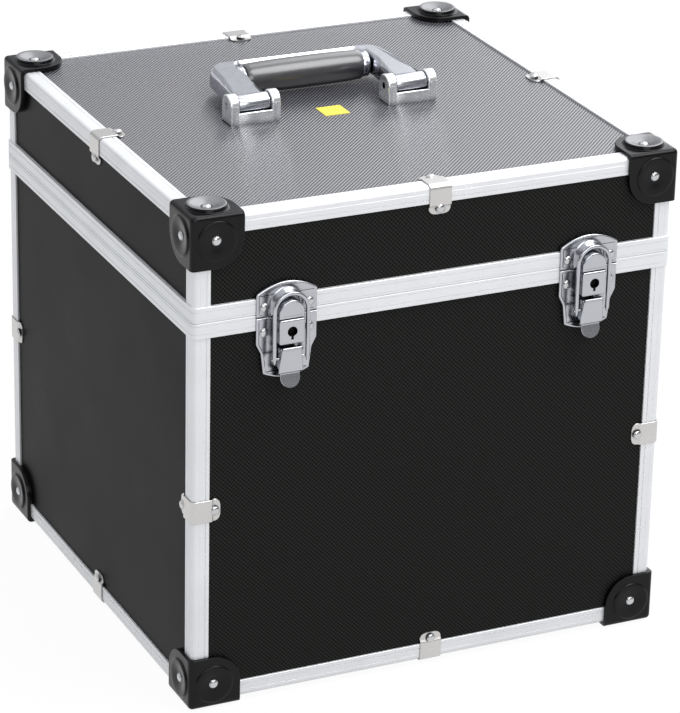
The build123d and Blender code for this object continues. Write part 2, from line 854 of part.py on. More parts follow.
    # Lid plate with its drawn ramp and the catch that the bail closes round
    with BuildPart() as keeper:
        with BuildSketch(front_plane(x, band_proud)):
            add(keeper_shape)
        extrude(amount=plate_thickness)
        with BuildSketch(front_plane(x, -board_out)):
            add(keeper_shape)
            add(keeper_inside, mode=Mode.SUBTRACT)
            with Locations((0, closure_gap + band_height)):
                Rectangle(
                    2 * plate_half_width,
                    closure_gap + band_height - keeper_low_z,
                    align=(Align.CENTER, Align.MAX),
                    mode=Mode.SUBTRACT,
                )
        extrude(amount=board_out + band_proud)
        with BuildSketch(front_plane(x, plate_face)):
            add(arch_outline(ramp_half_width, keeper_low_z, ramp_top_z))
        with BuildSketch(front_plane(x, plate_face + ramp_height)):
            add(
                arch_outline(ramp_half_width - ramp_slope, keeper_low_z, ramp_top_z - ramp_slope)
            )
        loft()
        with BuildSketch(front_plane(x, plate_face)):
            add(arch_outline(catch_half_width, keeper_low_z, catch_top_z))
        extrude(amount=catch_face - plate_face)
        chamfer(keeper.faces().sort_by(Axis.Y)[0].edges(), catch_edge)
    save(keeper.part, f"latch_keeper_{side}")

# Rivets of the latch plates
with BuildPart() as base_rivets:
    with Locations(
        *[
            Plane(origin=(x + way * latch_rivet_x, front_y - plate_face, split_z + base_rivet_z), z_dir=(0, -1, 0))
            for x in latches.values()
            for way in (-1, 1)
        ]
    ):
        add(rivet.part)
save(base_rivets.part, "latch_base_rivets")

with BuildPart() as keeper_rivets:
    with Locations(
        *[
            Plane(origin=(x + way * latch_rivet_x, front_y - plate_face, split_z + keeper_rivet_z), z_dir=(0, -1, 0))
            for x in latches.values()
            for way in (-1, 1)
        ]
    ):
        add(rivet.part)
save(keeper_rivets.part, "latch_keeper_rivets")

# Hinge leaves: over the band, stepped down to the board, with rolled knuckles
leaf_step_z = band_height + 1
for name, up, middle in (("hinge_body_leaves", -1, False), ("hinge_lid_leaves", 1, True)):
    clear = knuckle_radius + knuckle_gap
    drop = band_proud + board_out
    with BuildPart() as leaves:
        for x in (-hinge_x, hinge_x):
            with BuildSketch(hinge_side(x)):
                Polygon(
                    (band_proud, split_z),
                    (plate_face, split_z),
                    (plate_face, split_z + up * (leaf_step_z + plate_thickness)),
                    (plate_face - drop, split_z + up * (leaf_step_z + plate_thickness + drop)),
                    (plate_face - drop, split_z + up * leaf_length),
                    (band_proud - drop, split_z + up * leaf_length),
                    (band_proud - drop, split_z + up * (leaf_step_z + drop)),
                    (band_proud, split_z + up * leaf_step_z),
                    align=None,
                )
                with Locations((hinge_out, split_z)):
                    RegularPolygon(knuckle_radius, round_sides)
                    if middle:
                        Circle(hinge_pin_radius + running_gap, mode=Mode.SUBTRACT)
                    else:
                        fixed_hole(hinge_pin_radius)
            extrude(amount=hinge_width / 2, both=True)
            side_length = (hinge_width - knuckle_length) / 2
            cuts = (
                [(x - (knuckle_length + side_length) / 2, side_length + knuckle_gap)]
                + [(x + (knuckle_length + side_length) / 2, side_length + knuckle_gap)]
                if middle
                else [(x, knuckle_length + knuckle_gap)]
            )
            for place, length in cuts:
                with Locations((place, back_y + hinge_out, split_z)):
                    Box(length, 2 * hinge_out, 2 * clear, mode=Mode.SUBTRACT)
    save(leaves.part, name)

with BuildPart() as hinge_pins:
    for x in (-hinge_x, hinge_x):
        with BuildSketch(hinge_side(x)):
            with Locations((hinge_out, split_z)):
                Circle(hinge_pin_radius)
        extrude(amount=hinge_width / 2, both=True)
save(hinge_pins.part, "hinge_pins")

for name, up in (("hinge_body_rivets", -1), ("hinge_lid_rivets", 1)):
    z = split_z + up * (leaf_length - leaf_rivet_inset)
    with BuildPart() as leaf_rivets:
        with Locations(
            *[
                Plane(origin=(x + way * leaf_rivet_x, back_y, z), z_dir=(0, 1, 0))
                for x in (-hinge_x, hinge_x)
                for way in (-1, 1)
            ]
        ):
            add(rivet.part)
    save(leaf_rivets.part, name)

# Handle brackets: two rounded cheeks on a floor, with a low sill in front
for side, x in brackets.items():
    gap = knuckle_half + handle_side_gap
    with BuildPart() as bracket:
        with BuildSketch(side_view(x)) as outline:
            with Locations((bracket_front, lid_skin_z)):
                Rectangle(
                    bracket_back - bracket_front, bracket_height, align=(Align.MIN, Align.MIN)
                )
            chamfer(outline.vertices().group_by(Axis.Y)[-1].sort_by(Axis.X)[0], bracket_front_cut)
            chamfer(outline.vertices().group_by(Axis.Y)[-1].sort_by(Axis.X)[-1], bracket_back_cut)
            chamfer(outline.vertices().group_by(Axis.Y)[-1], bracket_second_cut)
            sides = outline.vertices().filter_by(lambda v: v.Y > lid_skin_z + bracket_height / 2)
            chamfer(sides.group_by(Axis.Y)[0], bracket_second_cut)
            sides = outline.vertices().filter_by(lambda v: v.Y > lid_skin_z + bracket_height / 2)
        extrude(amount=bracket_half_width, both=True)
        for face in (bracket.faces().sort_by(Axis.X)[0], bracket.faces().sort_by(Axis.X)[-1]):
            chamfer(face.edges().filter_by(lambda e: e.center().Z > lid_skin_z + 0.1), bracket_edge)
        with BuildSketch(side_view(x)):
            with Locations((bracket_front + sill_wall, lid_skin_z + bracket_floor)):
                Rectangle(bracket_back - bracket_front, bracket_height, align=(Align.MIN, Align.MIN))
            with Locations((bracket_front, lid_skin_z + sill_height)):
                Rectangle(bracket_back - bracket_front, bracket_height, align=(Align.MIN, Align.MIN))
        extrude(amount=gap, both=True, mode=Mode.SUBTRACT)
        with BuildSketch(side_view(x)):
            with Locations((handle_pivot_y, pivot_z)):
                fixed_hole(handle_pin_radius, Mode.ADD)
        extrude(amount=2 * bracket_half_width, both=True, mode=Mode.SUBTRACT)
        with BuildSketch(Plane.XY.offset(lid_skin_z)):
            with Locations((x - screw_x, screw_y), (x + screw_x, screw_y)):
                RegularPolygon(screw_radius + fixed_gap, rivet_sides)
        extrude(amount=screw_depth, mode=Mode.SUBTRACT)
    save(bracket.part, f"handle_bracket_{side}")

with BuildPart() as handle_pins:
    for x in brackets.values():
        with BuildSketch(side_view(x)):
            with Locations((handle_pivot_y, pivot_z)):
                Circle(handle_pin_radius)
        extrude(amount=bracket_half_width, both=True)
save(handle_pins.part, "handle_pins")

with BuildPart() as bracket_screws:
    with BuildSketch(Plane.XY.offset(lid_under_z)):
        with Locations(*screw_places):
            RegularPolygon(screw_radius, rivet_sides)
    extrude(amount=board_thickness + screw_depth - liner_gap)
    with BuildSketch(Plane.XY.offset(lid_under_z)):
        with Locations(*screw_places):
            RegularPolygon(screw_head_radius, rivet_sides)
    extrude(amount=-screw_head_height)
save(bracket_screws.part, "bracket_screws")

# Bow: two cast arms and a back spine in one piece, with a knuckle in each bracket
outer_knuckle = handle_half_span + knuckle_half
inner_knuckle = handle_half_span - knuckle_half
reach_y = handle_pivot_y + bow_reach
neck_y = handle_pivot_y + bow_neck
with BuildPart() as bow:
    with BuildSketch(Plane(origin=(handle_x, 0, pivot_z - handle_knuckle_radius))) as outline:
        with BuildLine():
            Polyline(
                (0, reach_y),
                (bow_half_width, reach_y),
                (outer_knuckle, neck_y),
                (outer_knuckle, handle_pivot_y),
                (inner_knuckle, handle_pivot_y),
                (inner_knuckle, neck_y),
                (bow_inner_half, grip_y - grip_radius),
                (bow_inner_half, reach_y - bow_spine),
                (0, reach_y - bow_spine),
            )
            mirror(about=Plane.YZ)
        make_face()
        for x in (-bow_half_width, bow_half_width):
            chamfer(outline.vertices().sort_by_distance((x, reach_y))[0], bow_corner)
            for end in outline.vertices().sort_by_distance((x, reach_y))[:2]:
                chamfer(outline.vertices().sort_by_distance(end)[0], bow_corner / 3)
        for x in (-bow_inner_half, bow_inner_half):
            near = outline.vertices().sort_by_distance((x, reach_y - bow_spine))[0]
            chamfer(near, bow_inner_corner)
    extrude(amount=handle_knuckle_radius + bow_rise)
    flats = bow.faces().filter_by(Axis.Z)
    chamfer(flats.edges(), bow_edge)
    for x in brackets.values():
        with BuildSketch(side_view(x)):
            with Locations((handle_pivot_y, pivot_z)):
                RegularPolygon(handle_knuckle_radius, grip_sides)
        extrude(amount=knuckle_half, both=True)
    with BuildSketch(side_view(handle_x)):
        with Locations((handle_pivot_y, pivot_z)):
            Circle(handle_pin_radius + running_gap)
    extrude(amount=case_width / 2, both=True, mode=Mode.SUBTRACT)
    with BuildSketch(side_view(handle_x)):
        with Locations((grip_y, pivot_z)):
            fixed_hole(core_radius, Mode.ADD)
    extrude(amount=bow_inner_half + core_socket, both=True, mode=Mode.SUBTRACT)
save(bow.part, "handle_bow")

# Grip: a slightly swelled sleeve on a steel core, between two collars
with BuildPart() as grip:
    for place, radius, next_place, next_radius in (
        (-grip_half, grip_end_radius, -grip_half / 2, grip_radius),
        (-grip_half / 2, grip_radius, grip_half / 2, grip_radius),
        (grip_half / 2, grip_radius, grip_half, grip_end_radius),
    ):
        for x, size in ((place, radius), (next_place, next_radius)):
            with BuildSketch(side_view(handle_x + x)):
                with Locations((grip_y, pivot_z)):
                    RegularPolygon(size, grip_sides)
        loft(ruled=True)
    with BuildSketch(side_view(handle_x)):
        with Locations((grip_y, pivot_z)):
            fixed_hole(core_radius, Mode.ADD)
    extrude(amount=grip_half, both=True, mode=Mode.SUBTRACT)
save(grip.part, "handle_grip")

with BuildPart() as grip_core:
    with BuildSketch(side_view(handle_x)):
        with Locations((grip_y, pivot_z)):
            RegularPolygon(core_radius, round_sides)
    extrude(amount=bow_inner_half + core_socket - liner_gap, both=True)
save(grip_core.part, "grip_core")

with BuildPart() as grip_collars:
    for way in (-1, 1):
        with BuildSketch(side_view(handle_x + way * (grip_half + collar_length / 2))):
            with Locations((grip_y, pivot_z)):
                RegularPolygon(collar_radius, grip_sides)
                fixed_hole(core_radius)
        extrude(amount=collar_length / 2, both=True)
save(grip_collars.part, "grip_collars")

# Linings glued to the inside of the bottom and of the lid
liner_x = 2 * (side_x - board_in - liner_gap)
liner_y = case_depth - 2 * (board_in + liner_gap)
with BuildPart() as floor_lining:
    with BuildSketch(Plane(origin=(0, centre_y, floor_z + board_in))):
        Rectangle(liner_x, liner_y)
    extrude(amount=liner_thickness)
save(floor_lining.part, "floor_lining")

with BuildPart() as lid_lining:
    with BuildSketch(Plane(origin=(0, centre_y, lid_under_z))):
        Rectangle(liner_x, liner_y)
        with Locations(*[(px, py - centre_y) for px, py in screw_places]):
            RegularPolygon(screw_head_radius + liner_gap, rivet_sides, mode=Mode.SUBTRACT)
    extrude(amount=-liner_thickness)
save(lid_lining.part, "lid_lining")

# Plain square label on the lid
with BuildPart() as label:
    with BuildSketch(Plane(origin=(label_x, label_y, lid_skin_z))):
        Rectangle(label_width, label_depth)
    extrude(amount=label_thickness)
save(label.part, "lid_label")
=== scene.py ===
import math

import bmesh
import bpy
from mathutils import Matrix, Vector


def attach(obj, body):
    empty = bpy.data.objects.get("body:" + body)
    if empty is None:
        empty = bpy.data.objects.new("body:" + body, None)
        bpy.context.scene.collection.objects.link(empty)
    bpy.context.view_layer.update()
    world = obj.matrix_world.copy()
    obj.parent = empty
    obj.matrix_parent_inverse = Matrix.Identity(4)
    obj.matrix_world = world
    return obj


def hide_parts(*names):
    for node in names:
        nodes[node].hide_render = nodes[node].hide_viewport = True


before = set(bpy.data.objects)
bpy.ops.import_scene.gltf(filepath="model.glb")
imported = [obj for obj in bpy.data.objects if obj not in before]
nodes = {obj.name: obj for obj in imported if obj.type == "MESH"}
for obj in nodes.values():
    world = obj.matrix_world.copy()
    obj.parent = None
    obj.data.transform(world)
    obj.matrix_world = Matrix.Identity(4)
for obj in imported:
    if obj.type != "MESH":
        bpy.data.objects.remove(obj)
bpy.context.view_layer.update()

# Sizes repeated from the part's source, in millimetres
SIDE_X = 186.0
FRONT_Y = -181.0
BACK_Y = 187.0
MID_Y = 3.0
FLOOR_Z = 4.0
TOP_Z = 376.0
LID_Z = 300.3
SPLIT_Z = 300.0
BAND_LOW = 288.5
BAND_TOP = 311.8
LATCH_X = {"left": -117.0, "right": 119.4}
HANDLE_X = -3.5
PIVOT_Y = -4.0
PIVOT_Z = 387.5
BRACKET_X = {"left": HANDLE_X - 63.3, "right": HANDLE_X + 63.3}
BRACKET_HALF = 20.0
CHEEK = 7.4
CORNER_WALL = 2.7
GRIP_Y = 48.0
GRIP_HALF = 47.0

# Places on a latch in millimetres: out is before the frame's front, X is from the latch's middle
EAR_X = 6.0
CHEEK_X = 7.3
FULCRUM_OUT, FULCRUM_Z = 9.3, 274.8
BAIL_PIN_OUT, BAIL_PIN_Z = 9.0, 268.5
BAIL_OUT = 10.2
KEYHOLE_Z = 289.0
LOCK_HALF = 9.7

# Lines of the laminate's pattern in one metre
PATTERN_RATE = 307.0


# camera, fitted to the photograph

FOCAL_PX, PHOTO_HEIGHT, SENSOR = 3562.7, 713, 36
AZ = math.radians(-25.270)
EL = math.radians(23.246)
ROLL = math.radians(1.277)
back = Vector((math.sin(AZ) * math.cos(EL), -math.cos(AZ) * math.cos(EL), math.sin(EL)))
right = Vector((0, 0, 1)).cross(back).normalized()
up = back.cross(right)
cam_x = math.cos(ROLL) * right + math.sin(ROLL) * up
cam_y = -math.sin(ROLL) * right + math.cos(ROLL) * up
eye = Vector((0, MID_Y, FLOOR_Z + 185)) + 10.722 * cam_x - 14.656 * cam_y + 2702.4 * back
cam_data = bpy.data.cameras.new("camera")
cam_data.lens = FOCAL_PX * SENSOR / PHOTO_HEIGHT
cam_data.sensor_width = SENSOR
cam_data.clip_end = 60
camera = bpy.data.objects.new("camera", cam_data)
bpy.context.scene.collection.objects.link(camera)
camera.matrix_world = Matrix.Translation(eye * 0.001) @ Matrix(
    (
        (cam_x.x, cam_y.x, back.x, 0),
        (cam_x.y, cam_y.y, back.y, 0),
        (cam_x.z, cam_y.z, back.z, 0),
        (0, 0, 0, 1),
    )
)
bpy.context.scene.camera = camera
bpy.context.scene.view_settings.view_transform = "Standard"


# materials

def new_material(name, color, metallic=0.0, rough=0.5, **extra):
    """A Principled material; extra names sockets by their own names."""
    m = bpy.data.materials.new(name)
    m.use_nodes = True
    b = m.node_tree.nodes["Principled BSDF"]
    b.inputs["Base Color"].default_value = (*color, 1)
    b.inputs["Metallic"].default_value = metallic
    b.inputs["Roughness"].default_value = rough
    for key, value in extra.items():
        b.inputs[key.replace("_", " ")].default_value = value
    return m


def node(m, kind, **props):
    """Adds a node and sets its properties."""
    n = m.node_tree.nodes.new(kind)
    for key, value in props.items():
        setattr(n, key, value)
    return n


def link(m, a, b):
    m.node_tree.links.new(a, b)


def math_node(m, op, a, b=None):
    """A Math node fed with sockets or numbers."""
    n = node(m, "ShaderNodeMath", operation=op)
    for i, v in enumerate((a, b)):
        if v is None:
            continue
        if isinstance(v, (int, float)):
            n.inputs[i].default_value = v
        else:
            link(m, v, n.inputs[i])
    return n.outputs[0]


def object_coords(m):
    return node(m, "ShaderNodeTexCoord").outputs["Object"]


def noise(m, scale, detail=3.0):
    """A noise value in object space; scale is in cycles per metre."""
    n = node(m, "ShaderNodeTexNoise")
    n.inputs["Scale"].default_value = scale
    n.inputs["Detail"].default_value = detail
    link(m, object_coords(m), n.inputs["Vector"])
    return n.outputs["Fac"]


def ramp(m, fac, low, high, a, b):
    """Maps fac from low..high to a..b."""
    n = node(m, "ShaderNodeMapRange")
    link(m, fac, n.inputs["Value"])
    for name, value in (("From Min", low), ("From Max", high), ("To Min", a), ("To Max", b)):
        n.inputs[name].default_value = value
    return n.outputs[0]


def tint(m, fac, first, second):
    """Colour between two colours."""
    n = node(m, "ShaderNodeMix", data_type="RGBA")
    link(m, fac, n.inputs[0])
    n.inputs[6].default_value = (*first, 1)
    n.inputs[7].default_value = (*second, 1)
    link(m, n.outputs[2], shader(m).inputs["Base Color"])


def shader(m):
    """The material's Principled node."""
    return m.node_tree.nodes["Principled BSDF"]


def bump(m, height, distance, strength=1.0):
    """Gives the surface a fine relief; distance is in metres."""
    n = node(m, "ShaderNodeBump")
    n.inputs["Strength"].default_value = strength
    n.inputs["Distance"].default_value = distance
    link(m, height, n.inputs["Height"])
    link(m, n.outputs[0], shader(m).inputs["Normal"])


def paint_crevice_shade(m, dark, distance, low=0.25, high=0.95):
    """Paints shade into the base colour where other surfaces are near."""
    socket = shader(m).inputs["Base Color"]
    source = socket.links[0].from_socket
    shade = node(m, "ShaderNodeAmbientOcclusion", samples=8)
    shade.inputs["Distance"].default_value = distance
    n = node(m, "ShaderNodeMix", data_type="RGBA")
    link(m, ramp(m, shade.outputs["AO"], low, high, 0.0, 1.0), n.inputs[0])
    n.inputs[6].default_value = (*dark, 1)
    link(m, source, n.inputs[7])
    link(m, n.outputs[2], socket)


def cloud(m, scale, first, second):
    """Blends the base colour between two colours by a noise."""
    tint(m, ramp(m, noise(m, scale), 0.3, 0.7, 0.0, 1.0), first, second)


def uneven_gloss(m, scale, low, high, detail=3.0):
    """Varies the roughness by a noise."""
    link(m, ramp(m, noise(m, scale, detail), 0.3, 0.7, low, high), shader(m).inputs["Roughness"])


def board_material(name, first, second, look):
    """Black laminate with a fine embossed diamond pattern in the plane of two object axes; the pattern's
    paler ridges are painted sheen.
    """
    m = new_material(name, look["low"], 0.0, look["rough"], Specular_IOR_Level=look["level"], IOR=look["ior"])
    sep = node(m, "ShaderNodeSeparateXYZ")
    link(m, object_coords(m), sep.inputs[0])
    u = sep.outputs[first]
    v = sep.outputs[second]
    rate = 2 * math.pi * PATTERN_RATE
    a = math_node(m, "SINE", math_node(m, "MULTIPLY", math_node(m, "SUBTRACT", u, v), rate))
    b = math_node(m, "SINE", math_node(m, "MULTIPLY", math_node(m, "ADD", u, v), rate))
    height = math_node(m, "ADD", a, math_node(m, "MULTIPLY", b, look["cross"]))
    dots = ramp(m, height, -1 - look["cross"], 1 + look["cross"], 0.0, 1.0)
    tint(m, dots, look["low"], look["high"])
    uneven_gloss(m, 14.0, look["rough"] - 0.03, look["rough"] + 0.03, 2.0)
    bump(m, dots, look["depth"])
    return m


def metal_material(name, color, metallic, rough, grain_scale=900, depth=0.000006, spread=0.04):
    """Metal with a faint cloudiness and a fine grain in its gloss and relief."""
    m = new_material(name, color, metallic, rough)
    grain = noise(m, grain_scale)
    cloud(m, 22.0, tuple(c * 0.93 for c in color), color)
    link(m, ramp(m, grain, 0.3, 0.7, rough - spread, rough + spread), shader(m).inputs["Roughness"])
    bump(m, grain, depth, 0.4)
    return m


# low and high are the colours of the pattern's valleys and ridges, cross is the share of its second grating;
# the paler ridges are painted sheen, and the three copies of the one black laminate are painted lighter or
# darker by how light falls on each face, the top palest
BOARD_XY = board_material("laminate_top", 0, 1, {
    "low": (0.009, 0.009, 0.012), "high": (0.13, 0.13, 0.148), "cross": 0.25,
    "rough": 0.17, "level": 0.85, "ior": 1.6, "depth": 0.00021,
})
BOARD_XZ = board_material("laminate_front", 0, 2, {
    "low": (0.0003, 0.0004, 0.0003), "high": (0.023, 0.024, 0.022), "cross": 1.0,
    "rough": 0.32, "level": 0.06, "ior": 1.5, "depth": 0.00008,
})
BOARD_YZ = board_material("laminate_side", 1, 2, {
    "low": (0.002, 0.002, 0.0026), "high": (0.004, 0.004, 0.005), "cross": 0.6,
    "rough": 0.3, "level": 0.03, "ior": 1.5, "depth": 0.00003,
})
ALU = metal_material("anodised_trim", (0.79, 0.80, 0.82), 0.4, 0.38, 500)
CORNER = new_material("corner_plastic", (0.004, 0.004, 0.005), 0.0, 0.22, Specular_IOR_Level=0.2)
uneven_gloss(CORNER, 60.0, 0.19, 0.25)
cloud(CORNER, 30.0, (0.0015, 0.0015, 0.002), (0.004, 0.004, 0.005))
bump(CORNER, noise(CORNER, 1400.0, 2.0), 0.000012, 0.5)
# painted sheen: a paler copy of the corner plastic for the discs that face up on the lid
DISC_SHEEN = new_material("corner_disc_painted_sheen", (0.04, 0.04, 0.046), 0.0, 0.3, Specular_IOR_Level=1.0, IOR=1.9)
cloud(DISC_SHEEN, 700.0, (0.03, 0.03, 0.036), (0.07, 0.07, 0.08))
uneven_gloss(DISC_SHEEN, 60.0, 0.28, 0.36)
bump(DISC_SHEEN, noise(DISC_SHEEN, 900.0, 2.0), 0.00005, 0.6)
CLIP = metal_material("nickel_sheet", (0.62, 0.61, 0.60), 0.9, 0.30)
RIVET = metal_material("rivet_steel", (0.58, 0.585, 0.60), 1.0, 0.20)
CHROME = metal_material("plated_steel", (0.51, 0.52, 0.555), 1.0, 0.2, 1500, 0.000004, 0.03)
CAST = metal_material("satin_chrome", (0.60, 0.61, 0.66), 1.0, 0.18, 160, 0.0000006, 0.03)
BRACKET = metal_material("bright_casting", (0.95, 0.96, 0.98), 0.8, 0.14, 160, 0.0000006, 0.02)
PIN = metal_material("pin_steel", (0.55, 0.56, 0.58), 1.0, 0.28)
# painted shade: these metals are darkened in their crevices and where other parts come near
paint_crevice_shade(CHROME, (0.06, 0.065, 0.08), 0.007)
paint_crevice_shade(RIVET, (0.08, 0.085, 0.10), 0.003, 0.3, 0.8)
paint_crevice_shade(CAST, (0.08, 0.085, 0.10), 0.008, 0.2, 0.8)
paint_crevice_shade(BRACKET, (0.08, 0.085, 0.10), 0.007, 0.2, 0.85)
paint_crevice_shade(CLIP, (0.15, 0.15, 0.16), 0.004, 0.2, 0.8)
GRIP = new_material(
    "grip_gloss", (0.02, 0.02, 0.024), 0.0, 0.3, Coat_Weight=1.0, Coat_Roughness=0.24, Coat_IOR=1.7
)
cloud(GRIP, 40.0, (0.016, 0.016, 0.020), (0.024, 0.024, 0.029))
uneven_gloss(GRIP, 300.0, 0.3, 0.38)
FOAM = new_material("foam_lining", (0.03, 0.03, 0.032), 0.0, 0.9)
cloud(FOAM, 900.0, (0.02, 0.02, 0.022), (0.05, 0.05, 0.052))
bump(FOAM, noise(FOAM, 900.0), 0.0002, 0.6)
LABEL = new_material("label_yellow", (0.84, 0.70, 0.06), 0.0, 0.38)
cloud(LABEL, 200.0, (0.80, 0.66, 0.05), (0.88, 0.74, 0.09))
# painted shade: near-black for the post, barrel and slot inside the keyholes
SHADE_INSIDE = new_material("painted_shade_inside", (0.003, 0.003, 0.003), 0.0, 0.8, Specular_IOR_Level=0.1)
cloud(SHADE_INSIDE, 300.0, (0.002, 0.002, 0.002), (0.005, 0.005, 0.005))

# materials of the CAD nodes by a word in the name, where the first that fits counts;
# the nodes that a piece replaces are dressed too
CAD_LOOK = (
    ("top_board", BOARD_XY), ("bottom_board", BOARD_XY), ("front_board", BOARD_XZ),
    ("back_board", BOARD_XZ), ("left_board", BOARD_YZ), ("right_board", BOARD_YZ),
    ("lining", FOAM), ("label", LABEL), ("corner", CORNER), ("clip", CLIP), ("rivet", RIVET),
    ("closure", ALU), ("posts", ALU), ("rails", ALU), ("latch", CHROME), ("lock_case", CHROME),
    ("handle_bow", CAST), ("bracket_left", CAST), ("bracket_right", CAST), ("grip_", CAST),
    ("handle_grip", GRIP), ("hinge", CLIP),
)
for name, obj in nodes.items():
    look = next((material for word, material in CAD_LOOK if word in name), PIN)
    obj.data.materials.clear()
    obj.data.materials.append(look)


# mesh helpers

def place(mesh_name, verts, faces, body, material, slot, stands_for=(), sharp=35.0, matrices=None):
    """Makes one object from vertices in millimetres, copied by each of the matrices, and lets it ride."""
    bm = bmesh.new()
    for matrix in matrices or [Matrix.Identity(4)]:
        made = [bm.verts.new(matrix @ Vector(v)) for v in verts]
        flip = matrix.determinant() < 0
        for f in faces:
            idx = list(dict.fromkeys(f))
            if len(idx) < 3:
                continue
            ring = [made[i] for i in (reversed(idx) if flip else idx)]
            try:
                bm.faces.new(ring)
            except ValueError:
                pass
    bmesh.ops.remove_doubles(bm, verts=bm.verts, dist=0.002)
    bmesh.ops.dissolve_degenerate(bm, edges=bm.edges, dist=0.001)
    bmesh.ops.recalc_face_normals(bm, faces=bm.faces)
    bmesh.ops.scale(bm, vec=(0.001, 0.001, 0.001), verts=bm.verts)
    mesh = bpy.data.meshes.new(mesh_name)
    bm.to_mesh(mesh)
    bm.free()
    return finish_piece(mesh_name, mesh, body, material, stands_for, sharp)


def finish_piece(name, mesh, body, material, stands_for=(), sharp=35.0):
    mesh.materials.clear()
    mesh.materials.append(material)
    mesh.polygons.foreach_set("use_smooth", [True] * len(mesh.polygons))
    mesh.set_sharp_from_angle(angle=math.radians(sharp))
    obj = bpy.data.objects.new(name, mesh)
    bpy.context.scene.collection.objects.link(obj)
    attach(obj, body)
    if stands_for:
        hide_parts(*stands_for)
    return obj


def bands(rows, size):
    """Faces between rows of points, each of which closes on itself."""
    faces = []
    for i in range(rows - 1):
        a, b = i * size, (i + 1) * size
        for k in range(size):
            j = (k + 1) % size
            faces.append((a + k, a + j, b + j, b + k))
    return faces


def end_caps(rows, size):
    return [tuple(range(size)), tuple((rows - 1) * size + k for k in range(size))]


def lathe(profile, steps):
    """Vertices and faces of a profile of (radius, height) turned about local Z."""
    verts = []
    for r, h in profile:
        for i in range(steps):
            t = 2 * math.pi * i / steps
            verts.append((r * math.cos(t), r * math.sin(t), h))
    return verts, bands(len(profile), steps) + end_caps(len(profile), steps)


def basis(x, y, z, point):
    """A matrix of three axes and an origin."""
    rows = [(x[i], y[i], z[i], point[i]) for i in range(3)]
    return Matrix((*rows, (0, 0, 0, 1)))


def seat(point, normal):
    """A matrix whose Z is the normal, at a point in millimetres."""
    z = Vector(normal).normalized()
    x = Vector((0, 0, 1)) if abs(z.z) < 0.9 else Vector((1, 0, 0))
    x = (x - z * x.dot(z)).normalized()
    y = z.cross(x)
    return basis(x, y, z, point)


def round_outline(points, radii, steps=8):
    """A closed outline with rounded corners."""
    out = []
    n = len(points)
    for i in range(n):
        p = Vector(points[i])
        a = Vector(points[i - 1]) - p
        b = Vector(points[(i + 1) % n]) - p
        r = radii[i] if not isinstance(radii, (int, float)) else radii
        la, lb = a.length, b.length
        a.normalize()
        b.normalize()
        angle = a.angle(b)
        if r <= 0 or angle > math.pi - 0.01:
            out.append(tuple(p))
            continue
        cut = min(r / math.tan(angle / 2), la * 0.49, lb * 0.49)
        r = cut * math.tan(angle / 2)
        centre = p + (a + b).normalized() * (r / math.sin(angle / 2))
        start = p + a * cut - centre
        end = p + b * cut - centre
        t0 = math.atan2(start.y, start.x)
        dt = math.atan2(end.y, end.x) - t0
        while dt > math.pi:
            dt -= 2 * math.pi
        while dt < -math.pi:
            dt += 2 * math.pi
        for k in range(steps + 1):
            t = t0 + dt * k / steps
            out.append((centre.x + r * math.cos(t), centre.y + r * math.sin(t)))
    return out


def arch(half, low, top, steps=28):
    """An outline with a round top."""
    pts = [(half, low)]
    for i in range(steps + 1):
        t = math.pi * i / steps
        pts.append((half * math.cos(t), top - half + half * math.sin(t)))
    pts.append((-half, low))
    return pts


def plate_mesh(outlines, matrix, low, high, edge, steps=3):
    """A plate cut from outlines, the first outside and the rest holes, with rounded edges on both faces.
    Local Z of the matrix runs from low to high, in millimetres."""
    curve = bpy.data.curves.new("cut", "CURVE")
    curve.dimensions = "2D"
    curve.fill_mode = "BOTH"
    for points in outlines:
        spline = curve.splines.new("POLY")
        spline.points.add(len(points) - 1)
        for p, q in zip(spline.points, points):
            p.co = (q[0], q[1], 0, 1)
        spline.use_cyclic_u = True
    curve.bevel_depth = edge
    curve.bevel_resolution = steps
    curve.offset = -edge
    curve.extrude = (high - low) / 2 - edge
    obj = bpy.data.objects.new("cut", curve)
    bpy.context.scene.collection.objects.link(obj)
    bpy.context.view_layer.update()
    mesh = bpy.data.meshes.new_from_object(obj.evaluated_get(bpy.context.evaluated_depsgraph_get()))
    bpy.data.objects.remove(obj)
    mesh.transform(matrix @ Matrix.Translation((0, 0, (low + high) / 2)))
    verts = [tuple(v.co) for v in mesh.vertices]
    faces = [tuple(p.vertices) for p in mesh.polygons]
    bpy.data.meshes.remove(mesh)
    return verts, faces


def joined(*meshes):
    verts, faces = [], []
    for v, f in meshes:
        base = len(verts)
        verts += v
        faces += [tuple(base + i for i in face) for face in f]
    return verts, faces


def moved(mesh, matrix):
    return [tuple(matrix @ Vector(v)) for v in mesh[0]], mesh[1]


def front_matrix(x):
    """Local X is X, local Y is Z, local Z points out of the front."""
    return Matrix(((1, 0, 0, x), (0, 0, -1, FRONT_Y), (0, 1, 0, 0), (0, 0, 0, 1)))


# aluminium extrusions

def angle_section():
    """Outline of the corner angle: outside corner at the origin, legs along +X and +Y."""
    leg, thick, line, groove = 13.0, 1.5, 3.2, 0.4
    a = [(leg, thick), (leg, 0.25), (leg - 0.25, 0.0)]
    g = leg - line
    a += [(g + 0.45, 0.0), (g + 0.3, groove), (g - 0.3, groove), (g - 0.45, 0.0)]
    a += [(5.4, 0.0), (5.25, 0.12), (5.0, 0.12), (4.85, 0.0)]
    turn = [math.pi / 2 * i / 10 for i in range(11)]
    corner = [(3.5 - 3.5 * math.sin(t), 3.5 - 3.5 * math.cos(t)) for t in turn]
    b = [(y, x) for x, y in reversed(a)]
    return a + corner + b + [(thick, thick)]


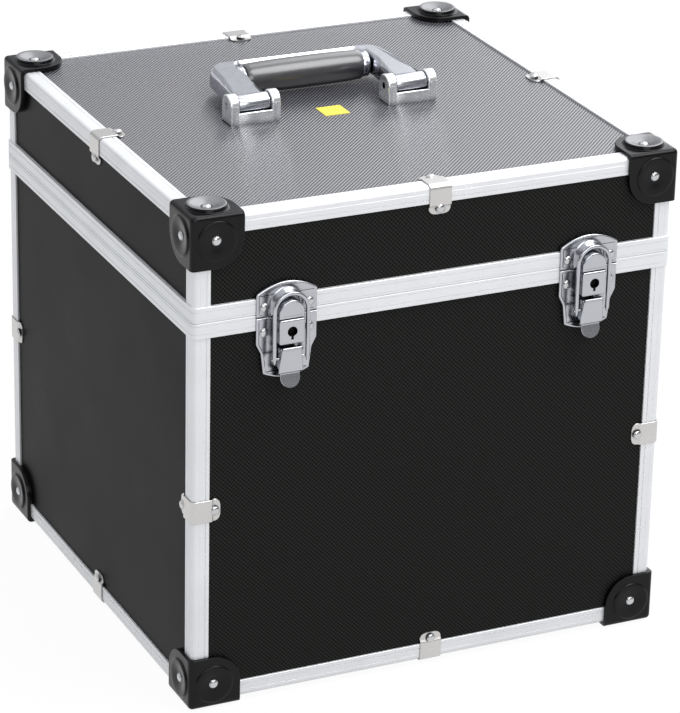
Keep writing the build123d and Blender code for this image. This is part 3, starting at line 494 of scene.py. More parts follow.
def bar(section, start, end, x_dir, y_dir):
    """A straight length of a section between two points."""
    sx, sy = Vector(x_dir), Vector(y_dir)
    verts = []
    for p in (Vector(start), Vector(end)):
        verts += [tuple(p + sx * u + sy * v) for u, v in section]
    n = len(section)
    faces = [(i, (i + 1) % n, n + (i + 1) % n, n + i) for i in range(n)]
    faces += [tuple(range(n)), tuple(range(2 * n - 1, n - 1, -1))]
    return verts, faces


SECTION = angle_section()


def uprights(low, high):
    out = []
    for sx in (-1, 1):
        for y, sy in ((FRONT_Y, -1), (BACK_Y, 1)):
            x = sx * SIDE_X
            out.append(bar(SECTION, (x, y, low), (x, y, high), (-sx, 0, 0), (0, -sy, 0)))
    return joined(*out)


def edge_rails(z, inward):
    out = []
    for y, sy in ((FRONT_Y, -1), (BACK_Y, 1)):
        out.append(bar(SECTION, (-SIDE_X + 3.6, y, z), (SIDE_X - 3.6, y, z), (0, -sy, 0), (0, 0, inward)))
    for sx in (-1, 1):
        x = sx * SIDE_X
        out.append(bar(SECTION, (x, FRONT_Y + 3.6, z), (x, BACK_Y - 3.6, z), (-sx, 0, 0), (0, 0, inward)))
    return joined(*out)


place("body_uprights", *uprights(17.0, BAND_LOW), "case_body", ALU, "trim", ["body_posts"], 25)
place("lid_uprights", *uprights(BAND_TOP, 363.0), "lid", ALU, "trim", ["lid_posts"], 25)
place("body_edge_rails", *edge_rails(FLOOR_Z, 1), "case_body", ALU, "trim", ["body_bottom_rails"], 25)
place("lid_edge_rails", *edge_rails(TOP_Z, -1), "lid", ALU, "trim", ["lid_top_rails"], 25)


def ring_sweep(section, arc_steps=10):
    """Sweeps a closed section of (outward, height) points round the frame's rounded rectangle."""
    hx, hy = SIDE_X, (BACK_Y - FRONT_Y) / 2
    verts, faces = [], []
    count = 4 * (arc_steps + 1)
    for out, z in section:
        r = max(3.5 + out, 0.0)
        for k, (sx, sy) in enumerate(((1, 1), (-1, 1), (-1, -1), (1, -1))):
            cx, cy = sx * (hx + out - r), sy * (hy + out - r)
            for i in range(arc_steps + 1):
                t = math.pi / 2 * (k + i / arc_steps)
                verts.append((cx + r * math.cos(t), MID_Y + cy + r * math.sin(t), z))
    n = len(section)
    for k in range(n):
        for i in range(count):
            j = (i + 1) % count
            a, b = k * count, ((k + 1) % n) * count
            faces.append((a + i, a + j, b + j, b + i))
    return verts, faces


def band_line(z, depth=0.35, half=0.32, out=1.2):
    """A fine groove in the band's outer face, going up."""
    return [(out, z - half), (out - depth, z - half * 0.6), (out - depth, z + half * 0.6), (out, z + half)]


body_band = (
    [(-1.5, BAND_LOW), (0.9, BAND_LOW), (1.2, BAND_LOW + 0.3)]
    + band_line(BAND_LOW + 3.4)
    + band_line(SPLIT_Z - 1.9, 0.3, 0.25)
    + [(1.2, SPLIT_Z - 0.35), (0.95, SPLIT_Z), (-3.5, SPLIT_Z), (-3.6, SPLIT_Z + 3.2), (-4.0, SPLIT_Z + 3.5)]
    + [(-5.6, SPLIT_Z + 3.5), (-6.0, SPLIT_Z + 3.1), (-6.0, SPLIT_Z), (-9.5, SPLIT_Z)]
    + [(-9.5, SPLIT_Z - 10), (-8.0, SPLIT_Z - 10), (-8.0, SPLIT_Z - 1.5), (-1.5, SPLIT_Z - 1.5)]
)
lid_band = (
    [(-2.7, LID_Z), (0.95, LID_Z), (1.2, LID_Z + 0.35)]
    + band_line(LID_Z + 1.9, 0.3, 0.25)
    + band_line(BAND_TOP - 3.4)
    + [(1.2, BAND_TOP - 0.3), (0.9, BAND_TOP), (-1.5, BAND_TOP), (-1.5, 306.0), (-8.0, 306.0)]
    + [(-8.0, LID_Z + 10), (-9.5, LID_Z + 10), (-9.5, LID_Z), (-7.0, LID_Z), (-7.0, 304.5), (-2.7, 304.5)]
)
place("body_closure_band", *ring_sweep(body_band), "case_body", ALU, "trim", ["body_closure_frame"], 25)
place("lid_closure_band", *ring_sweep(lid_band), "lid", ALU, "trim", ["lid_closure_frame"], 25)


# plastic corners: three faces meshed as rays from each disc, wrapped on a rounded box

def corner_mesh(top_rise=1.0):
    """One corner; top_rise scales the disc of the face that looks up or down."""
    r = 3.4
    reach = 39.5
    centre = 18.7
    flange = 21.0
    # radius and height of the dished disc; the face is at height 0 and outwards is negative
    disc = [
        (0.0, 0.0), (4.3, 0.0), (5.0, -0.1), (6.5, -0.38), (8.0, -0.68), (9.5, -0.95), (11.0, -1.15),
        (12.2, -1.26), (13.2, -1.3), (13.8, -1.24), (14.2, -1.05), (14.45, -0.75), (14.6, -0.4),
        (14.75, -0.12), (15.1, 0.0),
    ]
    disc_edge = disc[-1][0]
    special = math.atan2(reach - centre, -centre)
    angles = sorted(
        {round(math.radians(a * 3.75), 6) for a in range(-36, 60)}
        | {round(special, 6), round(math.pi / 2 - special, 6)}
    )
    angles = [a for a in angles if a < math.radians(225) - 1e-4]

    def limit(t):
        c, s = math.cos(t), math.sin(t)
        best = 1e9
        for comp in (c, s):
            if comp < -1e-9:
                best = min(best, centre / -comp)
            if comp > 1e-9:
                best = min(best, (reach - centre) / comp)
        k = reach - flange - centre
        if c > 0 and s > 0:
            b = c * k + s * k
            disc2 = b * b - (2 * k * k - flange * flange)
            arc = b + math.sqrt(disc2)
            x, y = arc * c, arc * s
            if x > k and y > k:
                best = min(best, arc)
        return best

    def wrap(x, y, z, drop):
        """Wraps a point of the sharp corner on the rounded one and sinks it by drop."""
        p = Vector((x, y, z))
        if x < r or y < r:
            q = Vector((max(x, r), max(y, r), r))
            n = (p - q)
            n = n.normalized() if n.length > 1e-9 else Vector((0, 0, -1))
            p = q + n * r
        else:
            n = Vector((0, 0, -1))
        return p - n * drop

    spread = [0.0, 0.2, 0.4, 0.55, 0.68, 0.78, 0.87, 0.94, 1.0]
    walls = [(0.35, 0.0), (0.12, 0.12), (0.0, 0.4), (0.0, 4.4)]
    low, high = math.pi / 2 - special, special
    faces = []
    verts = []
    for axes in ((0, 1, 2), (1, 2, 0), (2, 0, 1)):
        grid = []
        for t in angles:
            row = []
            edge = limit(t)
            on_flange = low - 1e-5 <= t <= high + 1e-5
            rise = top_rise if axes[2] == 2 else 1.0
            for d, z in disc:
                row.append((centre + d * math.cos(t), centre + d * math.sin(t), z * rise, 0.0))
            end = edge - (0.6 if on_flange else 0.0)
            for f in spread[1:]:
                d = disc_edge + f * (end - disc_edge)
                row.append((centre + d * math.cos(t), centre + d * math.sin(t), 0.0, 0.0))
            if on_flange:
                for back_by, drop in walls:
                    d = edge - back_by
                    row.append((centre + d * math.cos(t), centre + d * math.sin(t), 0.0, drop))
            else:
                row += [row[-1]] * len(walls)
            grid.append(row)
        base = len(verts)
        width = len(grid[0])
        for row in grid:
            for x, y, z, drop in row:
                p = wrap(max(x, 0.0), max(y, 0.0), z, drop)
                q = [0, 0, 0]
                q[axes[0]], q[axes[1]], q[axes[2]] = p.x, p.y, p.z
                verts.append(tuple(q))
        for i in range(len(grid)):
            a, b = base + i * width, base + (i + 1) % len(grid) * width
            for k in range(width - 1):
                faces.append((a + k, b + k, b + k + 1, a + k + 1))
    return verts, faces


def corner_places(z, up):
    out = []
    for sx in (-1, 1):
        for y, sy in ((FRONT_Y, -1), (BACK_Y, 1)):
            out.append(
                Matrix(
                    (
                        (-sx, 0, 0, sx * (SIDE_X + CORNER_WALL)),
                        (0, -sy, 0, y + sy * CORNER_WALL),
                        (0, 0, -up, z + up * CORNER_WALL),
                        (0, 0, 0, 1),
                    )
                )
            )
    return out


place(
    "body_corner_mouldings", *corner_mesh(), "case_body", CORNER, "corner", ["body_corners"], 40,
    corner_places(FLOOR_Z, -1),
)
lid_mouldings = place(
    "lid_corner_mouldings", *corner_mesh(2.2), "lid", CORNER, "corner", ["lid_corners"], 40,
    corner_places(TOP_Z, 1),
)
# the discs that face up on the lid have a paler, glossier face; the paler colour is painted sheen for the
# light they catch from above
lid_mouldings.data.materials.append(DISC_SHEEN)
disc_foot = (TOP_Z + CORNER_WALL + 0.08) * 0.001
for polygon in lid_mouldings.data.polygons:
    if polygon.center.z > disc_foot and polygon.normal.z > 0.8:
        polygon.material_index = 1


# rivets: a domed head at each place of the CAD's rivets

def dome(radius=3.1, height=1.35, steps=9):
    pts = [(radius + 0.25, 0.0), (radius + 0.1, 0.12)]
    for i in range(steps + 1):
        t = math.pi / 2 * i / steps
        pts.append((max(radius * math.cos(t), 0.01), 0.15 + (height - 0.15) * math.sin(t)))
    return pts


def islands(name):
    """Boxes of a CAD node's separate solids, in millimetres."""
    bm = bmesh.new()
    bm.from_mesh(nodes[name].data)
    bmesh.ops.remove_doubles(bm, verts=bm.verts, dist=1e-6)
    left = set(bm.verts)
    out = []
    while left:
        queue = [left.pop()]
        group = list(queue)
        while queue:
            v = queue.pop()
            for e in v.link_edges:
                w = e.other_vert(v)
                if w in left:
                    left.discard(w)
                    queue.append(w)
                    group.append(w)
        lo = Vector([min(v.co[i] for v in group) for i in range(3)]) * 1000
        hi = Vector([max(v.co[i] for v in group) for i in range(3)]) * 1000
        out.append((lo, hi))
    bm.free()
    return sorted(out, key=lambda b: tuple(round(c, 2) for c in b[0]))


def rivet_seats(name):
    """The point and the outward direction of each rivet, whose head is thinnest along it."""
    seats = []
    centre = (0.0, MID_Y, (FLOOR_Z + TOP_Z) / 2)
    for lo, hi in islands(name):
        size = hi - lo
        axis = min(range(3), key=lambda i: size[i])
        mid = (lo + hi) / 2
        way = 1 if mid[axis] > centre[axis] else -1
        point = mid.copy()
        point[axis] = lo[axis] if way > 0 else hi[axis]
        normal = [0, 0, 0]
        normal[axis] = way
        seats.append((point, normal))
    return seats


# lower is how far the heads sit below the CAD's
for rivet_node, rivet_body, lower in (
    ("body_rivets", "case_body", 0.0), ("lid_rivets", "lid", 0.0),
    ("latch_base_rivets", "case_body", 0.0), ("latch_keeper_rivets", "lid", 3.0),
    ("hinge_body_rivets", "case_body", 0.0), ("hinge_lid_rivets", "lid", 0.0),
):
    place(
        rivet_node + "_domed", *lathe(dome(), 28), rivet_body, RIVET, "rivet", [rivet_node], 50,
        [seat(p - Vector((0, 0, lower)), n) for p, n in rivet_seats(rivet_node)],
    )


# ribbons, trays and rods

def soft_path(points, radii, steps=6):
    """An open path with rounded bends."""
    out = [tuple(points[0])]
    for i in range(1, len(points) - 1):
        p = Vector(points[i])
        a, b = Vector(points[i - 1]) - p, Vector(points[i + 1]) - p
        la, lb = a.length, b.length
        a.normalize()
        b.normalize()
        angle = a.angle(b)
        r = radii[i - 1] if not isinstance(radii, (int, float)) else radii
        if r <= 0 or angle > math.pi - 0.02:
            out.append(tuple(p))
            continue
        cut = min(r / math.tan(angle / 2), la * 0.48, lb * 0.48)
        r = cut * math.tan(angle / 2)
        centre = p + (a + b).normalized() * (r / math.sin(angle / 2))
        s0, s1 = p + a * cut - centre, p + b * cut - centre
        t0 = math.atan2(s0.y, s0.x)
        dt = (math.atan2(s1.y, s1.x) - t0 + math.pi) % (2 * math.pi) - math.pi
        for k in range(steps + 1):
            t = t0 + dt * k / steps
            out.append((centre.x + r * math.cos(t), centre.y + r * math.sin(t)))
    out.append(tuple(points[-1]))
    return out


def resample(path, step):
    """The same path with points at most step apart."""
    out = [path[0]]
    for a, b in zip(path, path[1:]):
        d = (Vector(b) - Vector(a)).length
        n = max(1, int(math.ceil(d / step)))
        out += [tuple(Vector(a).lerp(Vector(b), k / n)) for k in range(1, n + 1)]
    return out


def sideways(path, i):
    """The left-hand normal of a path at its point i."""
    t = (Vector(path[min(i + 1, len(path) - 1)]) - Vector(path[max(i - 1, 0)])).normalized()
    return Vector((-t.y, t.x))


def ribbon(path, thick, half_width, edge=0.2):
    """A bent sheet: the path lies in local X, Y; half_width(s, total) is half its width in Z."""
    dist = [0.0]
    for a, b in zip(path, path[1:]):
        dist.append(dist[-1] + (Vector(b) - Vector(a)).length)
    total = dist[-1]
    verts = []
    for i, p in enumerate(path):
        nrm = sideways(path, i)
        w = max(half_width(dist[i], total), 0.25)
        e = min(edge, w * 0.4)
        h = thick / 2
        for side, z in (
            (h - e, -w), (h, -w + e), (h, w - e), (h - e, w),
            (-h + e, w), (-h, w - e), (-h, -w + e), (-h + e, -w),
        ):
            q = Vector(p) + nrm * side
            verts.append((q.x, q.y, z))
    return verts, bands(len(path), 8) + end_caps(len(path), 8)


def inset_ring(points, d):
    """A closed outline moved inwards by d; the outline runs counter-clockwise."""
    n = len(points)
    out = []
    for i in range(n):
        a, p, b = Vector(points[i - 1]), Vector(points[i]), Vector(points[(i + 1) % n])
        u, v = (p - a).normalized(), (b - p).normalized()
        nu, nv = Vector((-u.y, u.x)), Vector((-v.y, v.x))
        m = nu + nv
        if m.length < 1e-6:
            out.append(tuple(p + nu * d))
            continue
        m.normalize()
        out.append(tuple(p + m * (d / max(m.dot(nu), 0.5))))
    return out


def turn_ccw(points):
    """The same closed outline, counter-clockwise."""
    area = sum(a[0] * b[1] - b[0] * a[1] for a, b in zip(points, points[1:] + points[:1]))
    return points if area > 0 else points[::-1]


def stack(points, rings, cap=True):
    """Rings of (inset, height) over one outline; a height may be a function of the point."""
    points = turn_ccw(points)
    n = len(points)
    verts = []
    for inset, height in rings:
        for p, q in zip(points, inset_ring(points, inset)):
            verts.append((q[0], q[1], height(p) if callable(height) else height))
    faces = bands(len(rings), n)
    if cap:
        last = (len(rings) - 1) * n
        faces.append(tuple(last + i for i in range(n)))
    faces.append(tuple(range(n - 1, -1, -1)))
    return verts, faces


def rod(path, section, scale):
    """Sweeps a closed section of (sideways, Z) points along a path in local X, Y."""
    verts = []
    for i, p in enumerate(path):
        nrm = sideways(path, i)
        k = scale[i]
        for u, v in section:
            q = Vector(p) + nrm * (u * k)
            verts.append((q.x, q.y, v * k))
    return verts, bands(len(path), len(section)) + end_caps(len(path), len(section))


def round_box(half_u, half_v, radius, steps=4):
    """A rounded rectangle as a section."""
    pts = []
    for k, (su, sv) in enumerate(((1, 1), (-1, 1), (-1, -1), (1, -1))):
        u, v = su * (half_u - radius), sv * (half_v - radius)
        for i in range(steps + 1):
            t = math.pi / 2 * (k + i / steps)
            pts.append((u + radius * math.cos(t), v + radius * math.sin(t)))
    return pts


def rounding(inset, low, high, steps=5):
    """Rings of a quarter round from the wall at low to the face at high."""
    turn = [math.pi / 2 * i / steps for i in range(steps + 1)]
    return [(inset * (1 - math.cos(t)), low + (high - low) * math.sin(t)) for t in turn]


def along_x(profile, steps):
    """A lathed profile of (radius, place along X) about the X axis."""
    v, f = lathe(profile, steps)
    return [(z, x, y) for x, y, z in v], f


def at(x, y, z):
    """A shift."""
    return Matrix.Translation((x, y, z))


def side_matrix(x):
    """Local X points out of the front, local Y up, local Z to the left."""
    return Matrix(((0, 0, -1, x), (-1, 0, 0, FRONT_Y), (0, 1, 0, 0), (0, 0, 0, 1)))


# edge clips: one bent strip each

def clip_mesh():
    t = 1.0
    c = t / 2
    # local X and Y run inwards from the frame's edge along the two faces
    line = [(21.4, 1.0), (16.2, 1.0), (14.2, -c), (-c, -c), (-c, 14.2), (1.0, 16.2), (1.0, 21.4)]
    path = resample(soft_path(line, [1.2, 1.2, 3.4, 1.2, 1.2], 7), 0.6)

    def half(s, total):
        d = min(s, total - s)
        if d < 4.6:
            return 3.6 + 4.9 * math.sqrt(max(0.0, 1 - (1 - d / 4.6) ** 2))
        return 8.5

    return ribbon(path, t, half, 0.22)


def clip_matrix(edge, first, second):
    """Seats a clip on a point of an edge between the faces with these two normals."""
    a, b = Vector(first), Vector(second)
    return basis(-b, -a, b.cross(a), Vector(edge))


def edge_clips(z, up, front_x):
    """One clip in the middle of each horizontal edge; the front one is off the middle by front_x."""
    return [
        clip_matrix((front_x, FRONT_Y, z), (0, 0, up), (0, -1, 0)),
        clip_matrix((0, BACK_Y, z), (0, 0, up), (0, 1, 0)),
        clip_matrix((-SIDE_X, MID_Y, z), (0, 0, up), (-1, 0, 0)),
        clip_matrix((SIDE_X, MID_Y, z), (0, 0, up), (1, 0, 0)),
    ]


post_clips = [
    clip_matrix((sx * SIDE_X, y, 156.5), (sx, 0, 0), (0, sy, 0))
    for sx in (-1, 1)
    for y, sy in ((FRONT_Y, -1), (BACK_Y, 1))
]
clip = clip_mesh()
place(
    "body_clip_strips", *clip, "case_body", CLIP, "clip", ["body_edge_clips"], 35,
    edge_clips(FLOOR_Z, -1, 4.0) + post_clips,
)
place("lid_clip_strips", *clip, "lid", CLIP, "clip", ["lid_edge_clips"], 35, edge_clips(TOP_Z, 1, 0.0))


# latches

def densify(points, step, keep=3.0):
    """More points along the long straights, none of them closer than keep to a corner."""
    out = []
    for a, b in zip(points, points[1:] + points[:1]):
        out.append(a)
        d = (Vector(b) - Vector(a)).length
        if d > 2 * keep:
            n = max(1, int(math.ceil((d - 2 * keep) / step)))
            shares = [(keep + (d - 2 * keep) * k / n) / d for k in range(n + 1)]
            out += [tuple(Vector(a).lerp(Vector(b), f)) for f in shares]
    return out


def base_plate_outline():
    """The lower plate: shoulders at the top, tapered, with a bowed foot."""
    pts = [(23, 297.85), (23, 278.0), (19.4, 271.0), (17.5, 255.5)]
    n = 12
    bow = [(17.5 * (1 - i / n), 251.2 + (255.5 - 251.2) * (1 - i / n) ** 2) for i in range(1, n + 1)]
    half = pts + bow
    full = half + [(-x, z) for x, z in reversed(half[:-1])]
    radii = [0.0, 4.0, 4.0, 3.0] + [0.0] * (len(full) - 8) + [3.0, 4.0, 4.0, 0.0]
    return round_outline(full, radii, 5)


def keeper_plate_outline():
    """The upper plate: straight below, with a low arch on top."""
    n = 14
    bow = [(23 * (1 - i / n), 322.9 - (322.9 - 315.5) * (1 - i / n) ** 2) for i in range(0, n + 1)]
    half = [(23, 298.35)] + bow
    full = half + [(-x, z) for x, z in reversed(half[:-1])]
    radii = [0.0, 3.0] + [0.0] * (len(full) - 4) + [3.0, 0.0]
    return round_outline(full, radii, 5)


def keyhole_outline():
    """A round hole with a slot below it."""
    r, w, low = 3.7, 0.95, 283.0
    t = math.asin(w / r)
    pts = [(w, low)]
    for i in range(41):
        a = -math.pi / 2 + t + (2 * math.pi - 2 * t) * i / 40
        pts.append((r * math.cos(a), KEYHOLE_Z + r * math.sin(a)))
    pts.append((-w, low))
    return pts


TAB_LENGTH, TAB_RADIUS = 10.9, 7.5


def lever_half(s, total):
    """Half width of the lever's strip: narrow at the top, wide at the crease, then the round tab."""
    left = total - s
    if left < TAB_LENGTH:
        return math.sqrt(max(0.0, TAB_RADIUS**2 - max(0.0, TAB_RADIUS - left) ** 2))
    u = s / (total - TAB_LENGTH)
    return 7.1 + 1.9 * min(1.0, u / 0.8)


# how far the band's face and the plates' back on the boards stand out of the frame's front
BAND_FACE, PLATE_BACK = 1.22, -1.48
PLATE_RIM = [(0, 1.4)] + rounding(1.2, 1.5, 2.7) + [(1.6, 2.7), (2.1, 2.5), (2.4, 2.46)]


def skirt(low_z, high_z):
    """The foot of a latch plate: on the band between the two heights, else on the board."""
    return lambda p: BAND_FACE if low_z < p[1] < high_z else PLATE_BACK


def across_plate(across, outline, off):
    """A plate 1.2 mm thick that stands on edge, off the latch's middle."""
    return plate_mesh([outline], across @ at(0, 0, off), -0.6, 0.6, 0.12, 2)


for side, x in LATCH_X.items():
    front = front_matrix(x)
    across = side_matrix(x)

    # lower plate
    outline = densify(base_plate_outline(), 1.5)
    plate = moved(stack(outline, [(0, skirt(BAND_LOW - 0.2, 400))] + PLATE_RIM), front)
    ear = round_outline(
        [
            (2.4, 269.0), (8.6, 273.2), (10.8, 273.2), (10.8, 276.35), (7.75, 276.35), (7.75, 274.4),
            (2.4, 273.8),
        ],
        [0, 0.8, 1.4, 1.4, 1.4, 0.2, 0], 5,
    )
    ears = [across_plate(across, ear, way * EAR_X) for way in (-1, 1)]
    place(
        f"base_plate_{side}", *joined(plate, *ears), "case_body", CHROME, "latch",
        [f"latch_base_{side}"], 32,
    )

    # lid plate: a raised border, the drawn ramp and the catch
    outline = densify(keeper_plate_outline(), 1.5)
    plate = moved(stack(outline, [(0, skirt(0, BAND_TOP + 0.2))] + PLATE_RIM), front)
    ramp_rings = [
        (0, 2.3), (0.1, 2.46), (0.6, 2.7), (1.2, 3.2), (1.8, 3.95), (2.4, 4.8), (3.0, 5.5),
        (3.7, 6.05), (4.4, 6.3), (5.2, 6.4), (6.2, 6.35),
    ]
    drawn = moved(stack(arch(12.6, 298.35, 319.2, 40), ramp_rings), front)
    catch_rings = [(0, 2.4), (0, 10.6)] + rounding(1.3, 10.6, 11.9)
    catch_rings += [(1.9, 11.9), (2.3, 11.68), (2.7, 11.6)]
    catch = moved(stack(arch(9.7, 298.1, 311.9, 36), catch_rings), front)
    place(
        f"keeper_plate_{side}", *joined(plate, drawn, catch), "lid", CHROME, "latch",
        [f"latch_keeper_{side}"], 32,
    )

    # lock case with its keyhole, and the barrel and slot behind it, near-black as painted shade
    box_outline = round_outline(
        [(LOCK_HALF, 297.9), (-LOCK_HALF, 297.9), (-LOCK_HALF, 279.6), (LOCK_HALF, 279.6)], 1.6, 6
    )
    shell = stack(box_outline, [(0, 2.5), (0, 11.5)] + rounding(1.1, 11.5, 12.6), cap=False)
    face_outline = inset_ring(turn_ccw(box_outline), 1.08)
    face = plate_mesh([face_outline, keyhole_outline()], Matrix.Identity(4), 11.0, 12.6, 0.1, 2)
    place(
        f"lock_cover_{side}", *joined(moved(shell, front), moved(face, front)), "case_body",
        CHROME, "latch", [f"lock_case_{side}"], 32,
    )
    post = [(1.75, 0), (1.75, 8.0), (1.6, 8.3), (0.75, 8.3), (0.7, 7.0), (0.01, 7.0)]
    barrel = lathe([(4.4, 4.4), (4.4, 4.8), (3.4, 4.8), (3.3, 4.6), (2.6, 4.6)], 36)
    upright = front @ at(0, KEYHOLE_Z, 2.5)
    slot = round_outline([(0.9, 283.1), (0.9, 285.9), (-0.9, 285.9), (-0.9, 283.1)], 0.15, 3)
    slot_back = plate_mesh([slot], front, 10.4, 12.2, 0.05, 1)
    place(
        f"key_barrel_{side}",
        *joined(moved(lathe(post, 24), upright), moved(barrel, upright), slot_back),
        "case_body", SHADE_INSIDE, "pin", [f"key_post_{side}"], 40,
    )

    # lever: one bent strip with its round tab, and two cheeks
    line = [
        (12.0, 276.6), (11.9, 275.8), (11.6, 274.2), (10.4, 262.6), (10.5, 258.7), (8.6, 256.8),
        (11.3, 246.3),
    ]
    path = resample(soft_path(line, [0.7, 2.0, 3.0, 1.6, 1.6], 7), 0.4)
    strip = ribbon(path, 1.2, lever_half, 0.25)
    hem = [(0.01, -7.1), (0.8, -7.1), (1.0, -6.9), (1.0, 6.9), (0.8, 7.1), (0.01, 7.1)]
    rolled_hem = moved(along_x(hem, 24), at(x, FRONT_Y - 12.3, 276.2))
    cheek = round_outline(
        [
            (11.4, 276.0), (9.0, 276.9), (7.0, 275.8), (6.4, 268.5), (3.0, 266.5), (3.0, 261.0),
            (10.2, 259.2), (10.2, 262.8),
        ],
        [0.8, 1.6, 1.6, 2.0, 0.8, 0.8, 0.5, 0], 5,
    )
    cheeks = [across_plate(across, cheek, way * CHEEK_X) for way in (-1, 1)]
    place(
        f"lever_strip_{side}", *joined(moved(strip, across), rolled_hem, *cheeks), f"lever_{side}",
        CHROME, "latch", [f"latch_lever_{side}"], 32,
    )

    # pins with domed heads
    for name, out, z, reach, body in (
        ("fulcrum_pin", FULCRUM_OUT, FULCRUM_Z, 8.45, "case_body"),
        ("bail_pin", BAIL_PIN_OUT, BAIL_PIN_Z, 13.85, f"lever_{side}"),
    ):
        head = [(0.01, 0.72), (0.7, 0.68), (1.25, 0.5), (1.6, 0.15), (1.6, 0.0), (1.0, 0.0)]
        profile = [(r, -reach - h) for r, h in head]
        profile += [(r, -h) for r, h in reversed(profile)]
        place(
            f"{name}_turned_{side}", *along_x(profile, 28), body, RIVET, "pin",
            [f"{name}_{side}"], 40, [at(x, FRONT_Y - out, z)],
        )

    # bail: a rod bent over the catch, with flattened pointed ends
    turn = [math.pi * i / 36 for i in range(37)]
    top = [(12.5 * math.cos(t), 304.0 + 12.5 * math.sin(t)) for t in turn]
    right_leg = [
        (12.3, 264.7), (12.35, 265.6), (12.42, 267.0), (12.5, 268.8), (12.5, 270.6), (12.5, 272.5),
        (12.5, 280.0), (12.5, 292.0),
    ]
    bail_path = right_leg + top + [(-px, pz) for px, pz in reversed(right_leg)]
    grow = [0.22, 0.5, 0.78, 0.95, 1.0, 1.0, 1.0, 1.0]
    scale = grow + [1.0] * len(top) + grow[::-1]
    loop = rod(bail_path, round_box(1.45, 1.3, 1.15), scale)
    place(
        f"bail_rod_{side}", *loop, f"bail_{side}", CHROME, "latch", [f"latch_bail_{side}"], 40,
        [front @ at(0, 0, BAIL_OUT)],
    )


# folding handle

BRACKET_Z = 374.5  # the brackets' feet


def upright_box(y0, y1, top):
    """The side view of a bracket's wall, from y0 to y1 and up to top."""
    return [(y0, BRACKET_Z), (y1, BRACKET_Z), (y1, top), (y0, top)]


for side, x in BRACKET_X.items():
    # two rounded cheeks, the sill in front and the floor between them
    view = Matrix(((0, 0, 1, x), (1, 0, 0, 0), (0, 1, 0, 0), (0, 0, 0, 1)))
    cheek = round_outline(upright_box(-12.6, 4.6, 396.2), [0.0, 0.0, 8.4, 8.4], 10)
    mid, half = BRACKET_HALF - CHEEK / 2, CHEEK / 2
    parts = [plate_mesh([cheek], view @ at(0, 0, way * mid), -half, half, 1.2, 4) for way in (-1, 1)]
    inner = BRACKET_HALF - CHEEK + 0.8
    sill = round_outline(upright_box(-12.6, -10.7, 383.5), [0, 0, 0.7, 1.0], 4)
    for wall in (sill, upright_box(-11, 4.4, 378.7)):
        parts.append(plate_mesh([wall], view, -inner, inner, 0.05, 1))
    place(
        f"bracket_cast_{side}", *joined(*parts), "lid", BRACKET, "bracket",
        [f"handle_bracket_{side}"], 34,
    )

bow_half, bow_inner, neck_y, reach_y = 70.8, 53.6, 10.0, 68.0
knuckle = BRACKET_HALF - CHEEK - 0.3
outer, inner = 63.3 + knuckle, 63.3 - knuckle
arm = [
    (0, reach_y), (bow_half - 1.0, reach_y), (bow_half + 1.6, 40.0), (outer, neck_y),
    (outer, PIVOT_Y - 4.0), (inner, PIVOT_Y - 4.0), (inner, neck_y), (bow_inner, 36.0),
    (bow_inner, 61.0), (0, 61.0),
]
radii_half = [0, 27.0, 14.0, 8.0, 4.6, 4.6, 8.0, 0.0, 6.0, 0]
plan = arm + [(-px, py) for px, py in reversed(arm[1:-1])]
# the left arm reaches further in, over the collar
plan[10] = (-47.6, 61.0)
plan[11] = (-48.4, 32.0)
plan = densify(round_outline(plan, radii_half + radii_half[-2:0:-1], 12), 2.5, 4.0)


def slope(height, drop=3.0):
    """The arms run down a little to the knuckles, from a crease."""
    return lambda p: height - drop * max(0.0, min(1.0, (30.0 - p[1]) / 30.0))


bow_rings = [
    (1.8, 380.6), (0.8, 380.9), (0.2, 381.8), (0.0, 383.2), (0.0, 387.6), (0.2, 389.6),
    (0.6, 391.4), (1.0, 392.6), (1.3, 393.4), (1.75, slope(394.3)), (2.4, slope(395.2)),
    (3.0, slope(395.9)), (3.6, slope(396.4)),
]
bow = moved(stack(plan, bow_rings), at(HANDLE_X, 0, 0))
k = knuckle
profile = [(2.0, -k), (6.5, -k), (7.0, -k + 0.3), (7.2, -k + 0.9)]
profile += [(7.2, k - 0.9), (7.0, k - 0.3), (6.5, k), (2.0, k)]
knuckles = [moved(along_x(profile, 56), at(x, PIVOT_Y, PIVOT_Z)) for x in BRACKET_X.values()]
place("bow_cast", *joined(bow, *knuckles), "handle", CAST, "bow", ["handle_bow"], 30)

# the sleeve swells by 1 mm towards its middle
half = GRIP_HALF
grip_profile = [(4.9, -half), (10.2, -half), (10.7, -half + 0.2), (11.0, -half + 0.8)]
for i in range(1, 24):
    t = -1 + 2 * i / 24
    grip_profile.append((11.0 + 1.0 * (1 - abs(t) ** 2.6), t * half))
grip_profile += [(11.0, half - 0.8), (10.7, half - 0.2), (10.2, half), (4.9, half)]
grip_place = [at(HANDLE_X, GRIP_Y, PIVOT_Z)]
place(
    "grip_sleeve", *along_x(grip_profile, 64), "handle", GRIP, "grip", ["handle_grip"], 40, grip_place
)

# radius and distance from the sleeve's end
collar_profile = [
    (4.9, 0.05), (8.6, 0.05), (9.3, 0.2), (9.6, 0.7), (9.6, 2.4), (9.2, 2.8), (9.2, 3.3), (9.6, 3.7),
    (9.6, 5.3), (9.3, 5.8), (8.6, 5.95), (4.9, 5.95),
]
collars = [along_x([(r, way * (half + d)) for r, d in collar_profile], 48) for way in (-1, 1)]
place("collar_rings", *joined(*collars), "handle", CAST, "bow", ["grip_collars"], 40, grip_place)


# floor, world and lamps

FLOOR_COLOUR, FLOOR_GLOW, GLOW_SHARE = (0.44, 0.44, 0.44, 1), 1.07, 0.88


